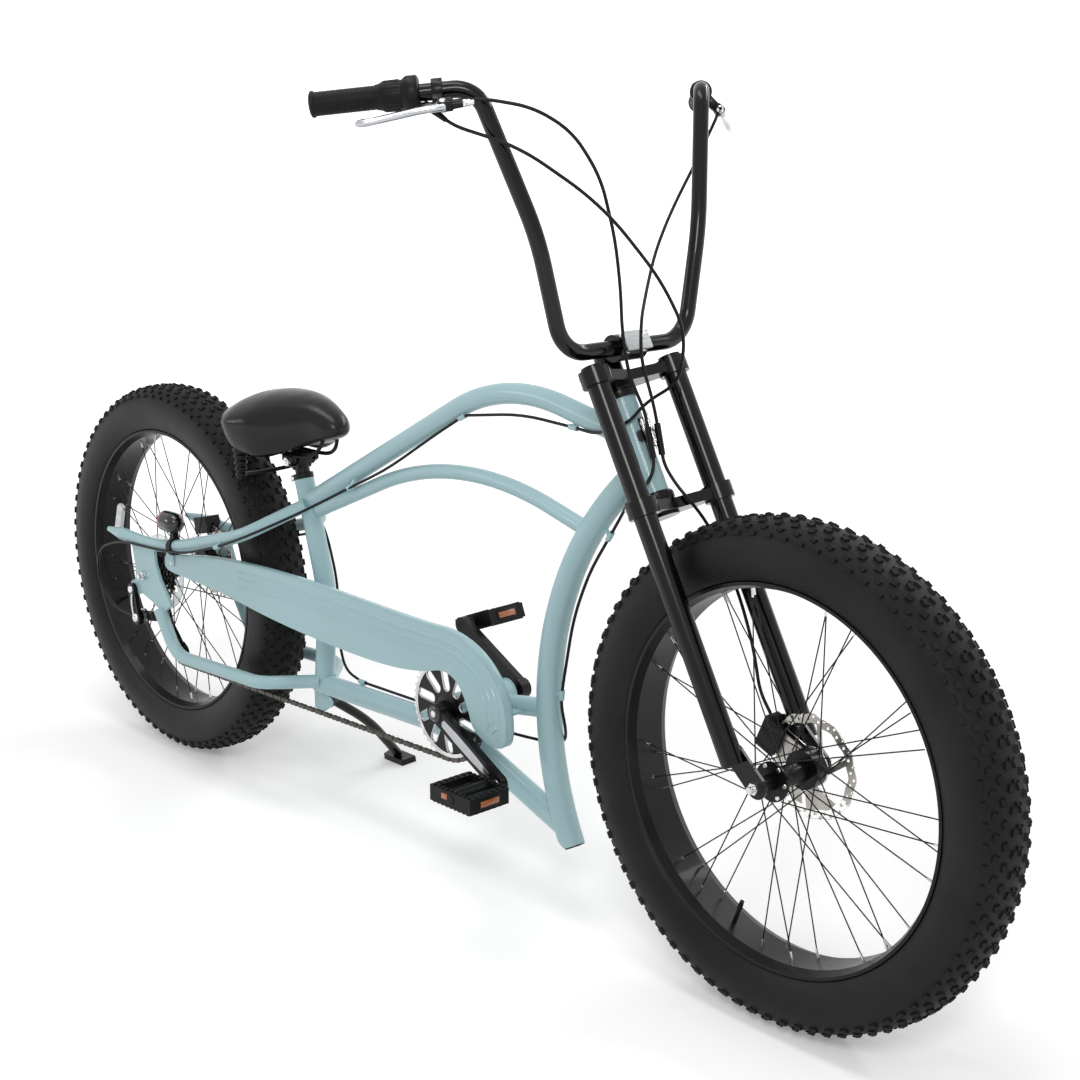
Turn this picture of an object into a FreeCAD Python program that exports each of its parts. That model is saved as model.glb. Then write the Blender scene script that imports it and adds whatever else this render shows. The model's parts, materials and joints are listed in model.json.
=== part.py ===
import FreeCAD, Part
import math
import os

V = FreeCAD.Vector

# A chopper bicycle with fat tyres. It is described standing upright, in millimetres: +X forward,
# +Y to its left, +Z up, the rear axle over x = 0 and the ground at z = 0. At the end every piece
# is leaned to the left together, until the side stand's foot is on the floor.

# Stance
LEAN_DEG = 8.0

# Wheels
TYRE_RADIUS = 373.0
TYRE_HALF_WIDTH = 53.0
TYRE_HEIGHT = 90.0
TYRE_WALL = 6.0
RIM_INSET = 12.0
RIM_BED_DEPTH = 11.0
RIM_EDGE_DEPTH = 5.0
RIM_SLOPE = 14.0
SPOKES_PER_FLANGE = 18
SPOKE_RADIUS = 1.0
SPOKE_ROW_OFFSET = 14.0
SPOKE_CROSS_DEG = 56.0
FLANGE_RADIUS = 29.0
FLANGE_WIDTH = 4.0
HUB_BARREL_RADIUS = 16.0
HUB_END_RADIUS = 12.0
AXLE_RADIUS = 5.0
AXLE_NUT_RADIUS = 9.0
AXLE_NUT_WIDTH = 8.0
AXLE_FREE_END = 8.0
REAR_HUB_WIDTH = 170.0
FRONT_HUB_WIDTH = 135.0
ROTOR_RADIUS = 80.0
ROTOR_TRACK = 16.0
ROTOR_THICKNESS = 2.0
ROTOR_SEAT_RADIUS = 20.0
RUNNING_GAP = 0.3
SEAT_GAP = 0.2

# Where the frame stands from the wheels: the seat tube ahead of the rear tyre, the head tube's lower
# end ahead of the seat tube by this and a wheel's radius, and above the axles
TYRE_TO_SEAT_TUBE = 94.0
HEAD_AHEAD = 458.0
HEAD_ABOVE = 359.0

# Cables
CABLE_RADIUS = 2.5
ADJUSTER_RADIUS = 4.8
ADJUSTER_LENGTH = 46.0
GUIDE_RADIUS = 4.6
GUIDE_LENGTH = 16.0

# Steering axis
HEAD_TILT_DEG = 28.5
HEAD_LENGTH = 152.0
HEAD_RADIUS = 22.0
STEERER_RADIUS = 14.3
CUP_HEIGHT = 12.0
CUP_RADIUS = 26.0

# Fork and handlebar, in distances down along the axis and ahead of it
LEG_AHEAD = 45.0
LEG_GAP = 10.0
LEG_RADIUS = 17.0
AXLE_AHEAD = 63.4
LEG_END_ABOVE_AXLE = 39.0
CLAMP_HEIGHT = 24.0
CLAMP_WALL = 6.0
FORK_DROPOUT_THICKNESS = 5.0
BAR_RADIUS = 12.0
GRIP_RADIUS = 16.5
STEM_RADIUS = 19.0
STEM_LENGTH = 48.0

# Frame tubes
TOP_TUBE_RADIUS = 17.0
MID_TUBE_RADIUS = 12.5
DOWN_TUBE_RADIUS = 21.0
BOTTOM_TUBE_RADIUS = 19.0
CROSS_TUBE_RADIUS = 16.0
SEAT_TUBE_RADIUS = 18.0
STAY_RADIUS = 12.5
DROPOUT_THICKNESS = 6.0

# Drive
BRACKET_AHEAD = 438.0
BRACKET_DROP = 55.0
BRACKET_RADIUS = 24.0
BRACKET_HALF_WIDTH = 60.0
SPINDLE_RADIUS = 8.5
CRANK_LENGTH = 170.0
CRANK_DROP_DEG = 28.0
CRANK_GAP = 13.0
CRANK_THICKNESS = 13.0
CRANK_WIDTH = 29.0
CHAIN_PITCH = 12.7
CHAIN_INSET = 14.0
CHAIN_WIDTH = 7.0
CHAIN_HEIGHT = 8.6
CHAIN_PLATE = 1.2
CAGE_SHEET = 1.6
RING_TEETH = 42
PULLEY_TEETH = 11
SPROCKET_TEETH = (28, 24, 22, 20, 17, 14)
CHAIN_SPROCKET_NUMBER = 3
SPROCKET_SPACING = 5.0
SPROCKET_THICKNESS = 1.8
GUARD_GAP = 9.0
GUARD_SHEET = 2.0
GUARD_LIP = 18.0

# Pedals
PEDAL_GAP = 62.0
PEDAL_LENGTH = 96.0
PEDAL_WIDTH = 80.0
PEDAL_HEIGHT = 26.0
RIGHT_PEDAL_TILT_DEG = 0.0
LEFT_PEDAL_TILT_DEG = -22.0

# Side stand: its pivot, and the place of its foot
STAND_FOOT_BACK = 41.0
STAND_FOOT_Y = 203.0
STAND_LEG_RADIUS = 9.0
STAND_AXIS = V(-0.36, 0.927, 0.105).normalize()
STAND_HINGE_RADIUS = 13.0
STAND_HINGE_HALF = 12.0

UP = V(0, 0, 1)
LEFT = V(0, 1, 0)

# Places and sizes that follow from the ones above
AXLE_Z = TYRE_RADIUS
SEAT_X = TYRE_RADIUS + TYRE_TO_SEAT_TUBE
HEAD_X = SEAT_X + TYRE_RADIUS + HEAD_AHEAD
HEAD_Z = AXLE_Z + HEAD_ABOVE
RIM_SEAT_RADIUS = TYRE_RADIUS - TYRE_HEIGHT
RIM_BED_RADIUS = RIM_SEAT_RADIUS - RIM_BED_DEPTH
RIM_EDGE_RADIUS = RIM_SEAT_RADIUS - RIM_EDGE_DEPTH
RIM_HALF_WIDTH = TYRE_HALF_WIDTH - RIM_INSET
RIM_BED_HALF_WIDTH = RIM_HALF_WIDTH - RIM_SLOPE
LEG_SIDE = TYRE_HALF_WIDTH + LEG_GAP + LEG_RADIUS
STAY_SIDE = REAR_HUB_WIDTH / 2 + DROPOUT_THICKNESS
CHAIN_SIDE = REAR_HUB_WIDTH / 2 - CHAIN_INSET
GUARD_FACE = CHAIN_SIDE + GUARD_GAP
CRANK_PLANE = GUARD_FACE + CRANK_GAP
PEDAL_SIDE = CRANK_PLANE + PEDAL_GAP


# Points of the frame, from the rear axle or from the seat tube's line over it
def by_axle(x, z, y=0.0):
    return V(x, y, AXLE_Z + z)


def by_seat(x, z, y=0.0):
    return V(SEAT_X + x, y, AXLE_Z + z)


STAND_PIVOT = by_seat(-27, -177, 34)


def pitch_radius(teeth):
    return CHAIN_PITCH / (2 * math.sin(math.pi / teeth))


# The steering axis: points are given by how far down it, how far ahead of it and how far left
def steer_point(down, ahead, side=0.0):
    tilt = math.radians(HEAD_TILT_DEG)
    x = HEAD_X + down * math.sin(tilt) + ahead * math.cos(tilt)
    z = HEAD_Z - down * math.cos(tilt) + ahead * math.sin(tilt)
    return V(x, side, z)


STEER_DOWN = steer_point(1, 0) - steer_point(0, 0)
AXLE_DOWN = (HEAD_Z - AXLE_Z + AXLE_AHEAD * math.sin(math.radians(HEAD_TILT_DEG))) / math.cos(
    math.radians(HEAD_TILT_DEG)
)
FRONT_AXLE = steer_point(AXLE_DOWN, AXLE_AHEAD)
REAR_AXLE = V(0, 0, AXLE_Z)
BRACKET = by_seat(BRACKET_AHEAD, -BRACKET_DROP)
UPPER_CLAMP_DOWN = -HEAD_LENGTH - CUP_HEIGHT - CLAMP_HEIGHT
LOWER_CLAMP_DOWN = CUP_HEIGHT


# Basic shapes
def rod(start, end, radius):
    run = end - start
    return Part.makeCylinder(radius, run.Length, start, run)


def sleeve(start, end, outer, inner):
    return rod(start, end, outer).cut(rod(start, end, inner))


def block(low, high):
    size = high - low
    return Part.makeBox(size.x, size.y, size.z, low)


def fuse(shapes):
    return shapes[0].multiFuse(shapes[1:]).removeSplitter()


def mirrored(shape):
    return shape.mirror(V(0, 0, 0), LEFT)


def polygon(points):
    return Part.makePolygon(list(points) + [points[0]])


# A wheel-like piece: rows of (radius, left) turned about an axle that runs across the bicycle
def turned(centre, rows):
    points = [centre + V(radius, left, 0) for radius, left in rows]
    return Part.Face(polygon(points)).revolve(centre, LEFT, 360)


# A flat piece: an outline seen from the side, from one y to another
def plate(corners, y_from, y_to):
    points = [V(corner.x, y_from, corner.z) for corner in corners]
    return Part.Face(polygon(points)).extrude(V(0, y_to - y_from, 0))


# Largest even bend at each corner of a route: 0.45 of the shorter run over the tangent of half the turn
def bend_radii(points):
    radii = []
    for before, corner, after in zip(points, points[1:], points[2:]):
        turn = (corner - before).getAngle(after - corner)
        shorter = min((corner - before).Length, (after - corner).Length)
        radii.append(0.45 * shorter / math.tan(turn / 2))
    return radii


# Straight runs joined by tangent arcs. A radius of None takes the largest even bend.
def route_wire(points, radii=None):
    largest = bend_radii(points)
    radii = radii or [None] * len(largest)
    edges = []
    reached = points[0]
    for i, corner in enumerate(points[1:-1]):
        into = (corner - points[i]).normalize()
        out = (points[i + 2] - corner).normalize()
        half = into.getAngle(out) / 2
        radius = radii[i] or largest[i]
        cut = radius * math.tan(half)
        first = corner - into * cut
        last = corner + out * cut
        inward = (out - into).normalize()
        middle = corner + inward * (radius / math.cos(half) - radius)
        edges.append(Part.LineSegment(reached, first).toShape())
        edges.append(Part.Arc(first, middle, last).toShape())
        reached = last
    edges.append(Part.LineSegment(reached, points[-1]).toShape())
    return Part.Wire(edges)


def tube(points, radius, radii=None):
    path = route_wire(points, radii)
    start = points[1] - points[0]
    section = Part.Wire(Part.makeCircle(radius, points[0], start))
    return path.makePipeShell([section], True, False)


# Loop of a belt round circles. Each row is (x, z, radius, turn), with turn 1 where the belt goes
# round with its inner side and -1 with its outer side. The belt is taken grow outside its line.
def belt_wire(rows, grow, y):
    circles = [(x, z, radius * turn + grow, turn) for x, z, radius, turn in rows]
    ends = []
    for one, two in zip(circles, circles[1:] + circles[:1]):
        apart = math.hypot(two[0] - one[0], two[1] - one[1])
        heading = math.atan2(two[1] - one[1], two[0] - one[0])
        heading += math.asin((one[2] - two[2]) / apart)
        aside = (math.sin(heading), -math.cos(heading))
        ends.append([V(c[0] + c[2] * aside[0], y, c[1] + c[2] * aside[1]) for c in (one, two)])
    edges = []
    for i, (x, z, reach, turn) in enumerate(circles):
        arrive = ends[i - 1][1]
        leave = ends[i][0]
        centre = V(x, y, z)
        across = (arrive - centre) + (leave - centre)
        spread = (arrive - centre).cross(leave - centre).y * turn
        if spread > 0:
            across = across * -1
        middle = centre + across.normalize() * abs(reach)
        edges.append(Part.Arc(arrive, middle, leave).toShape())
        edges.append(Part.LineSegment(*ends[i]).toShape())
    return Part.Wire(edges)


def belt_band(rows, inner_grow, outer_grow, y_low, y_high):
    outer = Part.Face(belt_wire(rows, outer_grow, y_low)).extrude(V(0, y_high - y_low, 0))
    inner = Part.Face(belt_wire(rows, inner_grow, y_low)).extrude(V(0, y_high - y_low, 0))
    return outer.cut(inner)


# Wheels
# Section of the tyre: share of its height over the rim seat, share of its half width
TYRE_OUTSIDE = ((0.14, 0.9), (0.52, 1.0), (0.79, 0.91), (0.95, 0.6), (1.0, 0.2))
TYRE_INSIDE = ((0.2, 0.93), (0.55, 1.0), (0.92, 0.62))


def tyre(centre):
    height = TYRE_RADIUS - RIM_SEAT_RADIUS
    foot = RIM_SEAT_RADIUS + SEAT_GAP
    bead = RIM_HALF_WIDTH - 1
    outside = [(foot, bead)]
    outside += [(RIM_SEAT_RADIUS + a * height, b * TYRE_HALF_WIDTH) for a, b in TYRE_OUTSIDE]
    inside = [(foot, bead - TYRE_WALL)]
    inside += [
        (RIM_SEAT_RADIUS + a * (height - TYRE_WALL), b * (TYRE_HALF_WIDTH - TYRE_WALL))
        for a, b in TYRE_INSIDE
    ]
    right = [(r, -w) for r, w in outside]
    rows = right + outside[::-1] + inside + [(r, -w) for r, w in inside[::-1]]
    return turned(centre, rows)


def rim(centre):
    half = [
        (RIM_BED_RADIUS, RIM_BED_HALF_WIDTH),
        (RIM_EDGE_RADIUS, RIM_HALF_WIDTH),
        (RIM_SEAT_RADIUS, RIM_HALF_WIDTH),
    ]
    return turned(centre, [(r, -w) for r, w in half] + half[::-1])


# Hub rows for its two flanges' places and its rotor's, all as distances to the left
def hub(centre, width, flange_right, flange_left, rotor, bearing_radius):
    end = width / 2 - RUNNING_GAP
    half = FLANGE_WIDTH / 2
    bore = AXLE_RADIUS + RUNNING_GAP
    seat = rotor - ROTOR_THICKNESS / 2
    rows = [
        (bore, -end),
        (bearing_radius, -end),
        (bearing_radius, flange_right - half),
        (FLANGE_RADIUS, flange_right - half),
        (FLANGE_RADIUS, flange_right + half),
        (HUB_BARREL_RADIUS, flange_right + half),
        (HUB_BARREL_RADIUS, flange_left - half),
        (FLANGE_RADIUS, flange_left - half),
        (FLANGE_RADIUS, seat),
        (ROTOR_SEAT_RADIUS, seat),
        (ROTOR_SEAT_RADIUS, seat + 2 * ROTOR_THICKNESS),
        (HUB_END_RADIUS, seat + 2 * ROTOR_THICKNESS),
        (HUB_END_RADIUS, end),
        (bore, end),
    ]
    return turned(centre, rows)


def rotor(centre, left):
    back = centre + V(0, left - ROTOR_THICKNESS / 2, 0)
    front = centre + V(0, left + ROTOR_THICKNESS / 2, 0)
    hole = ROTOR_SEAT_RADIUS + SEAT_GAP
    pieces = [
        sleeve(back, front, ROTOR_RADIUS, ROTOR_RADIUS - ROTOR_TRACK),
        sleeve(back, front, hole + 8, hole),
    ]
    for i in range(6):
        arm = Part.makeBox(ROTOR_RADIUS - ROTOR_TRACK - hole, ROTOR_THICKNESS, 8)
        arm.translate(back + V(hole + 2, 0, -4))
        arm.rotate(centre, LEFT, i * 60)
        pieces.append(arm)
    return fuse(pieces)


def spokes(centre, flange_right, flange_left):
    start_radius = FLANGE_RADIUS + SPOKE_RADIUS + SEAT_GAP
    end_radius = RIM_BED_RADIUS - SEAT_GAP
    step = 360.0 / SPOKES_PER_FLANGE
    shapes = []
    for flange, row, first in (
        (flange_right, -SPOKE_ROW_OFFSET, 0.0),
        (flange_left, SPOKE_ROW_OFFSET, step / 4),
    ):
        for i in range(SPOKES_PER_FLANGE):
            lean = 1 if i % 2 else -1
            hub_angle = first + i * step
            rim_angle = hub_angle + lean * SPOKE_CROSS_DEG
            start = wheel_point(centre, start_radius, hub_angle, flange + lean * 2.5)
            end = wheel_point(centre, end_radius, rim_angle, row)
            shapes.append(rod(start, end, SPOKE_RADIUS))
    return Part.makeCompound(shapes)


def wheel_point(centre, radius, degrees, left):
    angle = math.radians(degrees)
    return centre + V(radius * math.cos(angle), left, radius * math.sin(angle))


def axle(centre, inner_width, plate_thickness):
    seat = inner_width / 2 + plate_thickness
    end = seat + AXLE_NUT_WIDTH + AXLE_FREE_END
    nut = hexagon(centre + V(0, seat, 0), AXLE_NUT_RADIUS, AXLE_NUT_WIDTH)
    other = hexagon(centre - V(0, seat + AXLE_NUT_WIDTH, 0), AXLE_NUT_RADIUS, AXLE_NUT_WIDTH)
    bar = rod(centre - V(0, end, 0), centre + V(0, end, 0), AXLE_RADIUS)
    return fuse([bar, nut, other])


def hexagon(base, radius, width):
    corners = [wheel_point(base, radius, 60 * i, 0) for i in range(6)]
    return Part.Face(polygon(corners)).extrude(V(0, width, 0))


REAR_FLANGES = (-40.0, 43.0)
REAR_ROTOR = REAR_HUB_WIDTH / 2 - 19
FRONT_FLANGES = (-38.0, 28.0)
FRONT_ROTOR = 49.0
CALIPER_REACH = 20.0
CALIPER_WALL = 14.0
CALIPER_HALF_LENGTH = 25.0
CALIPER_SLOT = 3.0
REAR_CALIPER_DEG = 103.0
FRONT_CALIPER_DEG = 157.0
LAMP_X = 110.0
LAMP_ABOVE = 127.0
LAMP_STAY_ABOVE = 78.0
CASSETTE_BORE = 14.5


# Frame: corners of each tube's centre line, and the radii of its bends
TOP_TUBE_ROUTE = (steer_point(-87, -2), by_seat(504, 494), by_seat(-27, 209))
TOP_TUBE_BENDS = (370.0,)
MID_TUBE_ROUTE = (by_seat(699, 280), by_seat(390, 364), by_seat(3, 198))
MID_TUBE_BENDS = (650.0,)
DOWN_TUBE_ARC = (steer_point(-45, 6), by_seat(606, -13), by_seat(661, -245))
BOTTOM_TUBE_ROUTE = (by_seat(654, -220), by_seat(378, -121), by_seat(-15, -133))
BOTTOM_TUBE_BENDS = (500.0,)
CROSS_TUBE_END = by_seat(605, -27)
SEAT_TUBE_ROUTE = (by_seat(-47, 257), by_seat(17, 42), by_seat(0, -123))
SEAT_TUBE_BENDS = (260.0,)
SEAT_STAY_ROUTE = (
    by_seat(-19, 206, -15),
    by_seat(-127, 139, -STAY_SIDE),
    by_axle(70, 67, -STAY_SIDE),
    by_axle(-78, 71, -STAY_SIDE),
)
SEAT_STAY_BENDS = (120.0, 600.0)
STAY_TAIL_LENGTH = 52.0
STAY_TAIL_RADIUS = 5.0
CHAIN_STAY_ROUTE = (
    by_seat(1, -125, -12),
    by_seat(-79, -130, -STAY_SIDE),
    by_axle(104, -142, -STAY_SIDE),
    by_axle(50, -60, -STAY_SIDE),
)
CHAIN_STAY_BENDS = (70.0, 62.0)


def arc_tube(points, radius):
    arc = Part.Wire(Part.Arc(*points).toShape())
    start = arc.Edges[0].tangentAt(arc.Edges[0].FirstParameter)
    section = Part.Wire(Part.makeCircle(radius, points[0], start))
    return arc.makePipeShell([section], True, False)


def head_tube():
    return sleeve(steer_point(-HEAD_LENGTH, 0), steer_point(0, 0), HEAD_RADIUS, STEERER_RADIUS + 3)


def headset_cups():
    bore = STEERER_RADIUS + RUNNING_GAP
    height = CUP_HEIGHT - RUNNING_GAP
    cups = []
    for low, high in ((-HEAD_LENGTH - height, -HEAD_LENGTH), (0, height)):
        cups.append(sleeve(steer_point(low, 0), steer_point(high, 0), CUP_RADIUS, bore))
    return Part.makeCompound(cups)


def bottom_bracket():
    side = V(0, BRACKET_HALF_WIDTH, 0)
    return sleeve(BRACKET - side, BRACKET + side, BRACKET_RADIUS, SPINDLE_RADIUS + RUNNING_GAP)


# Wedge of space under the bottom tube's front end, which the down tube's pointed foot stops at
def under_bottom_tube():
    start, corner = BOTTOM_TUBE_ROUTE[:2]
    ahead = (start - corner).normalize()
    aside = ahead.cross(LEFT) * -BOTTOM_TUBE_RADIUS
    low_rear = corner + aside
    low_front = start + aside + ahead * 80
    drop = V(0, 0, -80)
    corners = [low_rear, low_front, low_front + drop, low_rear + drop]
    half = V(0, 2 * DOWN_TUBE_RADIUS, 0)
    return Part.Face(polygon([c - half for c in corners])).extrude(half * 2)


# Outline of a rear dropout around its axle, as (ahead of the axle, above it)
DROPOUT_OUTLINE = (
    (-47, 68),
    (38, 70),
    (40, 34),
    (55, 1),
    (78, -27),
    (91, -43),
    (62, -66),
    (24, -50),
    (-12, -40),
    (-40, -48),
    (-56, -40),
    (-54, -22),
    (-36, -14),
    (-34, 8),
)


def dropout(cutters):
    corners = [by_axle(x, z) for x, z in DROPOUT_OUTLINE]
    inner = REAR_HUB_WIDTH / 2
    flat = plate(corners, -inner - DROPOUT_THICKNESS, -inner)
    hole = rod(REAR_AXLE - V(0, 200, 0), REAR_AXLE, AXLE_RADIUS + 0.1)
    return flat.cut(hole).cut(cutters[0]).cut(cutters[1])


# Chain guard: corners of its face, and a lip that turns in along the top and the front
GUARD_TOP = (
    by_axle(60, 36),
    by_axle(66, 52),
    by_axle(98, 54),
    by_axle(247, 80),
    by_seat(-16, 89),
    by_seat(105, 88),
    by_seat(197, 86),
    by_seat(329, 83),
    by_seat(391, 83),
    by_seat(437, 85),
    by_seat(482, 79),
    by_seat(526, 62),
    by_seat(560, 34),
    by_seat(583, 2),
    by_seat(591, -33),
    by_seat(591, -67),
    by_seat(573, -84),
)
GUARD_LOW = (
    by_seat(550, -84),
    by_seat(511, -70),
    by_seat(498, -29),
    by_seat(472, 7),
    by_seat(435, 17),
    by_seat(389, 1),
    by_seat(293, -12),
    by_seat(141, -12),
    by_seat(-44, -3),
    by_axle(285, 12),
    by_axle(183, 18),
    by_axle(84, 21),
)


# The same line of corners moved aside to its left by a distance
def moved_aside(line, distance):
    moved = []
    for i, corner in enumerate(line):
        run = line[min(i + 1, len(line) - 1)] - line[max(i - 1, 0)]
        moved.append(corner + run.cross(LEFT).normalize() * -distance)
    return tuple(moved)


def chain_guard():
    face = plate(GUARD_TOP + GUARD_LOW, -GUARD_FACE, -GUARD_FACE + GUARD_SHEET)
    inside = moved_aside(GUARD_TOP, -GUARD_SHEET)
    lip = plate(GUARD_TOP[1:] + inside[:0:-1], -GUARD_FACE, -GUARD_FACE + GUARD_LIP)
    return fuse([face, lip])


# Tabs that hold the guard: on the seat stay, and on the tube ahead of the cranks
def guard_brackets(stay):
    tab = (by_axle(70, 35), by_axle(96, 35), by_axle(96, 73), by_axle(70, 67))
    rear = plate(tab, -GUARD_FACE - 3, -GUARD_FACE)
    low = by_seat(541, -43, -GUARD_FACE + GUARD_SHEET)
    front = block(low, low + V(18, GUARD_FACE - GUARD_SHEET - CROSS_TUBE_RADIUS + 6, 4))
    return rear.cut(stay), front


# Saddle: stations from the seat tube's top, as (ahead, half width, crown, shoulder, underside)
SADDLE_STATIONS = (
    (-158, 56, 110, 96, 76),
    (-135, 98, 130, 96, 58),
    (-90, 120, 146, 98, 38),
    (-35, 108, 154, 103, 30),
    (20, 74, 154, 108, 44),
    (70, 46, 145, 106, 68),
    (112, 34, 126, 100, 78),
    (132, 18, 108, 96, 84),
)


def by_post(x, z, y=0.0):
    return SEAT_TUBE_ROUTE[0] + V(x, y, z)


# Hollow in its underside for the rails and the clamp
SADDLE_POCKET = (by_post(-80, -30, -42), by_post(62, 64, 42))


def saddle():
    sections = []
    for x, half, top, shoulder, underside in SADDLE_STATIONS:
        left = by_post(x, shoulder, half)
        right = by_post(x, shoulder, -half)
        low_left = by_post(x, underside, half * 0.8)
        low_right = by_post(x, underside, -half * 0.8)
        crown = Part.Arc(left, by_post(x, top), right).toShape()
        sides = Part.makePolygon([right, low_right, low_left, left])
        sections.append(Part.Wire([crown] + sides.Edges))
    shell = Part.makeLoft(sections, True, True)
    return shell.cut(block(SADDLE_POCKET[0], SADDLE_POCKET[1]))


POST_DIRECTION = (SEAT_TUBE_ROUTE[0] - SEAT_TUBE_ROUTE[1]).normalize()
POST_RADIUS = 13.5
POST_LENGTH = 26.0
SEAT_CLAMP_HALF = (22.0, 28.0)
RAIL_RADIUS = 4.0
SPRING_RADIUS = 17.0
# Right rail of the saddle, and the foot and top of its rubber spring
RAIL_ROUTE = (
    by_post(-120, 10, -60),
    by_post(-75, 38, -26),
    by_post(10, 38, -24),
    by_post(66, 46, -22),
    by_post(87, 82, -14),
)
SPRING_FOOT = by_post(-108, -18, -62)
SPRING_TOP = by_post(-108, 75, -62)


def seat_post():
    start = SEAT_TUBE_ROUTE[0]
    return rod(start, start + POST_DIRECTION * POST_LENGTH, POST_RADIUS)


def saddle_frame():
    top = SEAT_TUBE_ROUTE[0] + POST_DIRECTION * POST_LENGTH
    long_half, wide_half = SEAT_CLAMP_HALF
    clamp = block(top + V(-long_half, -wide_half, -16), top + V(long_half, wide_half, 16))
    rail = tube(RAIL_ROUTE, RAIL_RADIUS)
    spring = rod(SPRING_FOOT, SPRING_TOP, SPRING_RADIUS)
    frame = fuse([clamp, rail, spring, mirrored(rail), mirrored(spring)])
    return frame.cut(seat_post()).cut(saddle())


# Drive
RING_ROW = (BRACKET.x, BRACKET.z, pitch_radius(RING_TEETH), 1)
SPROCKET_ROW = (0.0, AXLE_Z, pitch_radius(SPROCKET_TEETH[CHAIN_SPROCKET_NUMBER]), 1)
GUIDE_PULLEY = by_axle(32, -81)
TENSION_PULLEY = by_axle(92, -142)


def chain_rows():
    pulley = pitch_radius(PULLEY_TEETH)
    guide = (GUIDE_PULLEY.x, GUIDE_PULLEY.z, pulley, -1)
    tension = (TENSION_PULLEY.x, TENSION_PULLEY.z, pulley, 1)
    return (RING_ROW, SPROCKET_ROW, guide, tension)


def chain():
    half = CHAIN_WIDTH / 2
    rows = chain_rows()
    band = belt_band(rows, -CHAIN_HEIGHT / 2, CHAIN_HEIGHT / 2, -CHAIN_SIDE - half, -CHAIN_SIDE + half)
    slot = half - CHAIN_PLATE
    roof = CHAIN_HEIGHT / 2 - CHAIN_PLATE
    groove = belt_band(rows, -CHAIN_HEIGHT, roof, -CHAIN_SIDE - slot, -CHAIN_SIDE + slot)
    return band.cut(groove)


def cassette():
    rows = []
    for i, teeth in enumerate(SPROCKET_TEETH):
        y = -CHAIN_SIDE + (CHAIN_SPROCKET_NUMBER - i) * SPROCKET_SPACING
        tip = pitch_radius(teeth) + 2.2
        rows.append((tip, y + SPROCKET_THICKNESS / 2))
        rows.append((tip, y - SPROCKET_THICKNESS / 2))
        if i + 1 < len(SPROCKET_TEETH):
            rows.append((21, y - SPROCKET_THICKNESS / 2))
            rows.append((21, y - SPROCKET_SPACING + SPROCKET_THICKNESS / 2))
    rows.append((CASSETTE_BORE, rows[-1][1]))
    rows.append((CASSETTE_BORE, rows[0][1]))
    return turned(REAR_AXLE, rows)


def rear_derailleur():
    inner = -CHAIN_SIDE + CHAIN_WIDTH / 2 + 1
    outer = -CHAIN_SIDE - CHAIN_WIDTH / 2 - 1
    cage = CAGE_SHEET
    pulley = pitch_radius(PULLEY_TEETH) - CHAIN_HEIGHT / 2 - 1
    pieces = []
    for centre in (GUIDE_PULLEY, TENSION_PULLEY):
        pieces.append(rod(centre + V(0, outer - cage, 0), centre + V(0, inner + cage, 0), pulley))
    for y in (outer - cage, inner):
        pieces.append(link_plate(GUIDE_PULLEY, TENSION_PULLEY, 11, y, y + cage))
    hanger = by_axle(-43, -36)
    body = by_axle(-30, -92)
    far = -STAY_SIDE - 9
    pieces.append(rod(hanger + V(0, far, 0), hanger + V(0, -STAY_SIDE, 0), 11))
    pieces.append(link_plate(hanger, body, 12, far, far + 8))
    pieces.append(rod(body + V(0, far, 0), body + V(0, outer - cage, 0), 15))
    pieces.append(link_plate(body, GUIDE_PULLEY, 10, outer - 4, outer))
    return fuse(pieces)


# A flat link with round ends
def link_plate(start, end, radius, y_low, y_high):
    low = V(0, y_low, 0)
    run = end - start
    across = run.cross(LEFT).normalize() * radius
    corners = [start + across, end + across, end - across, start - across]
    bar = Part.Face(polygon([c + low for c in corners])).extrude(V(0, y_high - y_low, 0))
    ends = [rod(p + low, p + V(0, y_high, 0), radius) for p in (start, end)]
    return fuse([bar] + ends)


def chainring():
    radius = pitch_radius(RING_TEETH) + 2.2
    back = BRACKET - V(0, CHAIN_SIDE + 1, 0)
    front = BRACKET - V(0, CHAIN_SIDE - 1, 0)
    disc = sleeve(back, front, radius, SPINDLE_RADIUS + SEAT_GAP)
    for i in range(10):
        start = BRACKET + V(40, 0, 0)
        slot = link_plate(start, start + V(26, 0, 6), 7.5, -CHAIN_SIDE - 2, -CHAIN_SIDE + 2)
        slot.rotate(BRACKET, LEFT, i * 36 + 18)
        disc = disc.cut(slot)
    return disc


# Direction of the right crank arm; the left one is opposite
CRANK_DROP = math.radians(CRANK_DROP_DEG)
CRANK_RUN = V(math.cos(CRANK_DROP), 0, -math.sin(CRANK_DROP)) * CRANK_LENGTH
SPINDLE_END = CRANK_PLANE - CRANK_THICKNESS / 2


# Crank arm on the right side of the bicycle, with its boss reaching in by boss_depth
def crank_arm(run, boss_depth):
    tip = BRACKET + run
    outer = -CRANK_PLANE - CRANK_THICKNESS / 2
    inner = -CRANK_PLANE + CRANK_THICKNESS / 2
    arm = link_plate(BRACKET, tip, CRANK_WIDTH / 2, outer, inner)
    boss = rod(BRACKET + V(0, outer - 1, 0), BRACKET + V(0, inner + boss_depth, 0), 17)
    bore = SPINDLE_RADIUS + SEAT_GAP
    hole = rod(BRACKET + V(0, inner - 1, 0), BRACKET + V(0, inner + boss_depth + 1, 0), bore)
    pin = rod(tip + V(0, outer - 1, 0), tip + V(0, inner + 1, 0), 7.2)
    return fuse([arm, boss]).cut(hole).cut(pin)


def crank_right():
    return crank_arm(CRANK_RUN, CRANK_PLANE - CRANK_THICKNESS / 2 - CHAIN_SIDE - 1)


def crank_left():
    return mirrored(crank_arm(CRANK_RUN * -1, 6))


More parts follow.
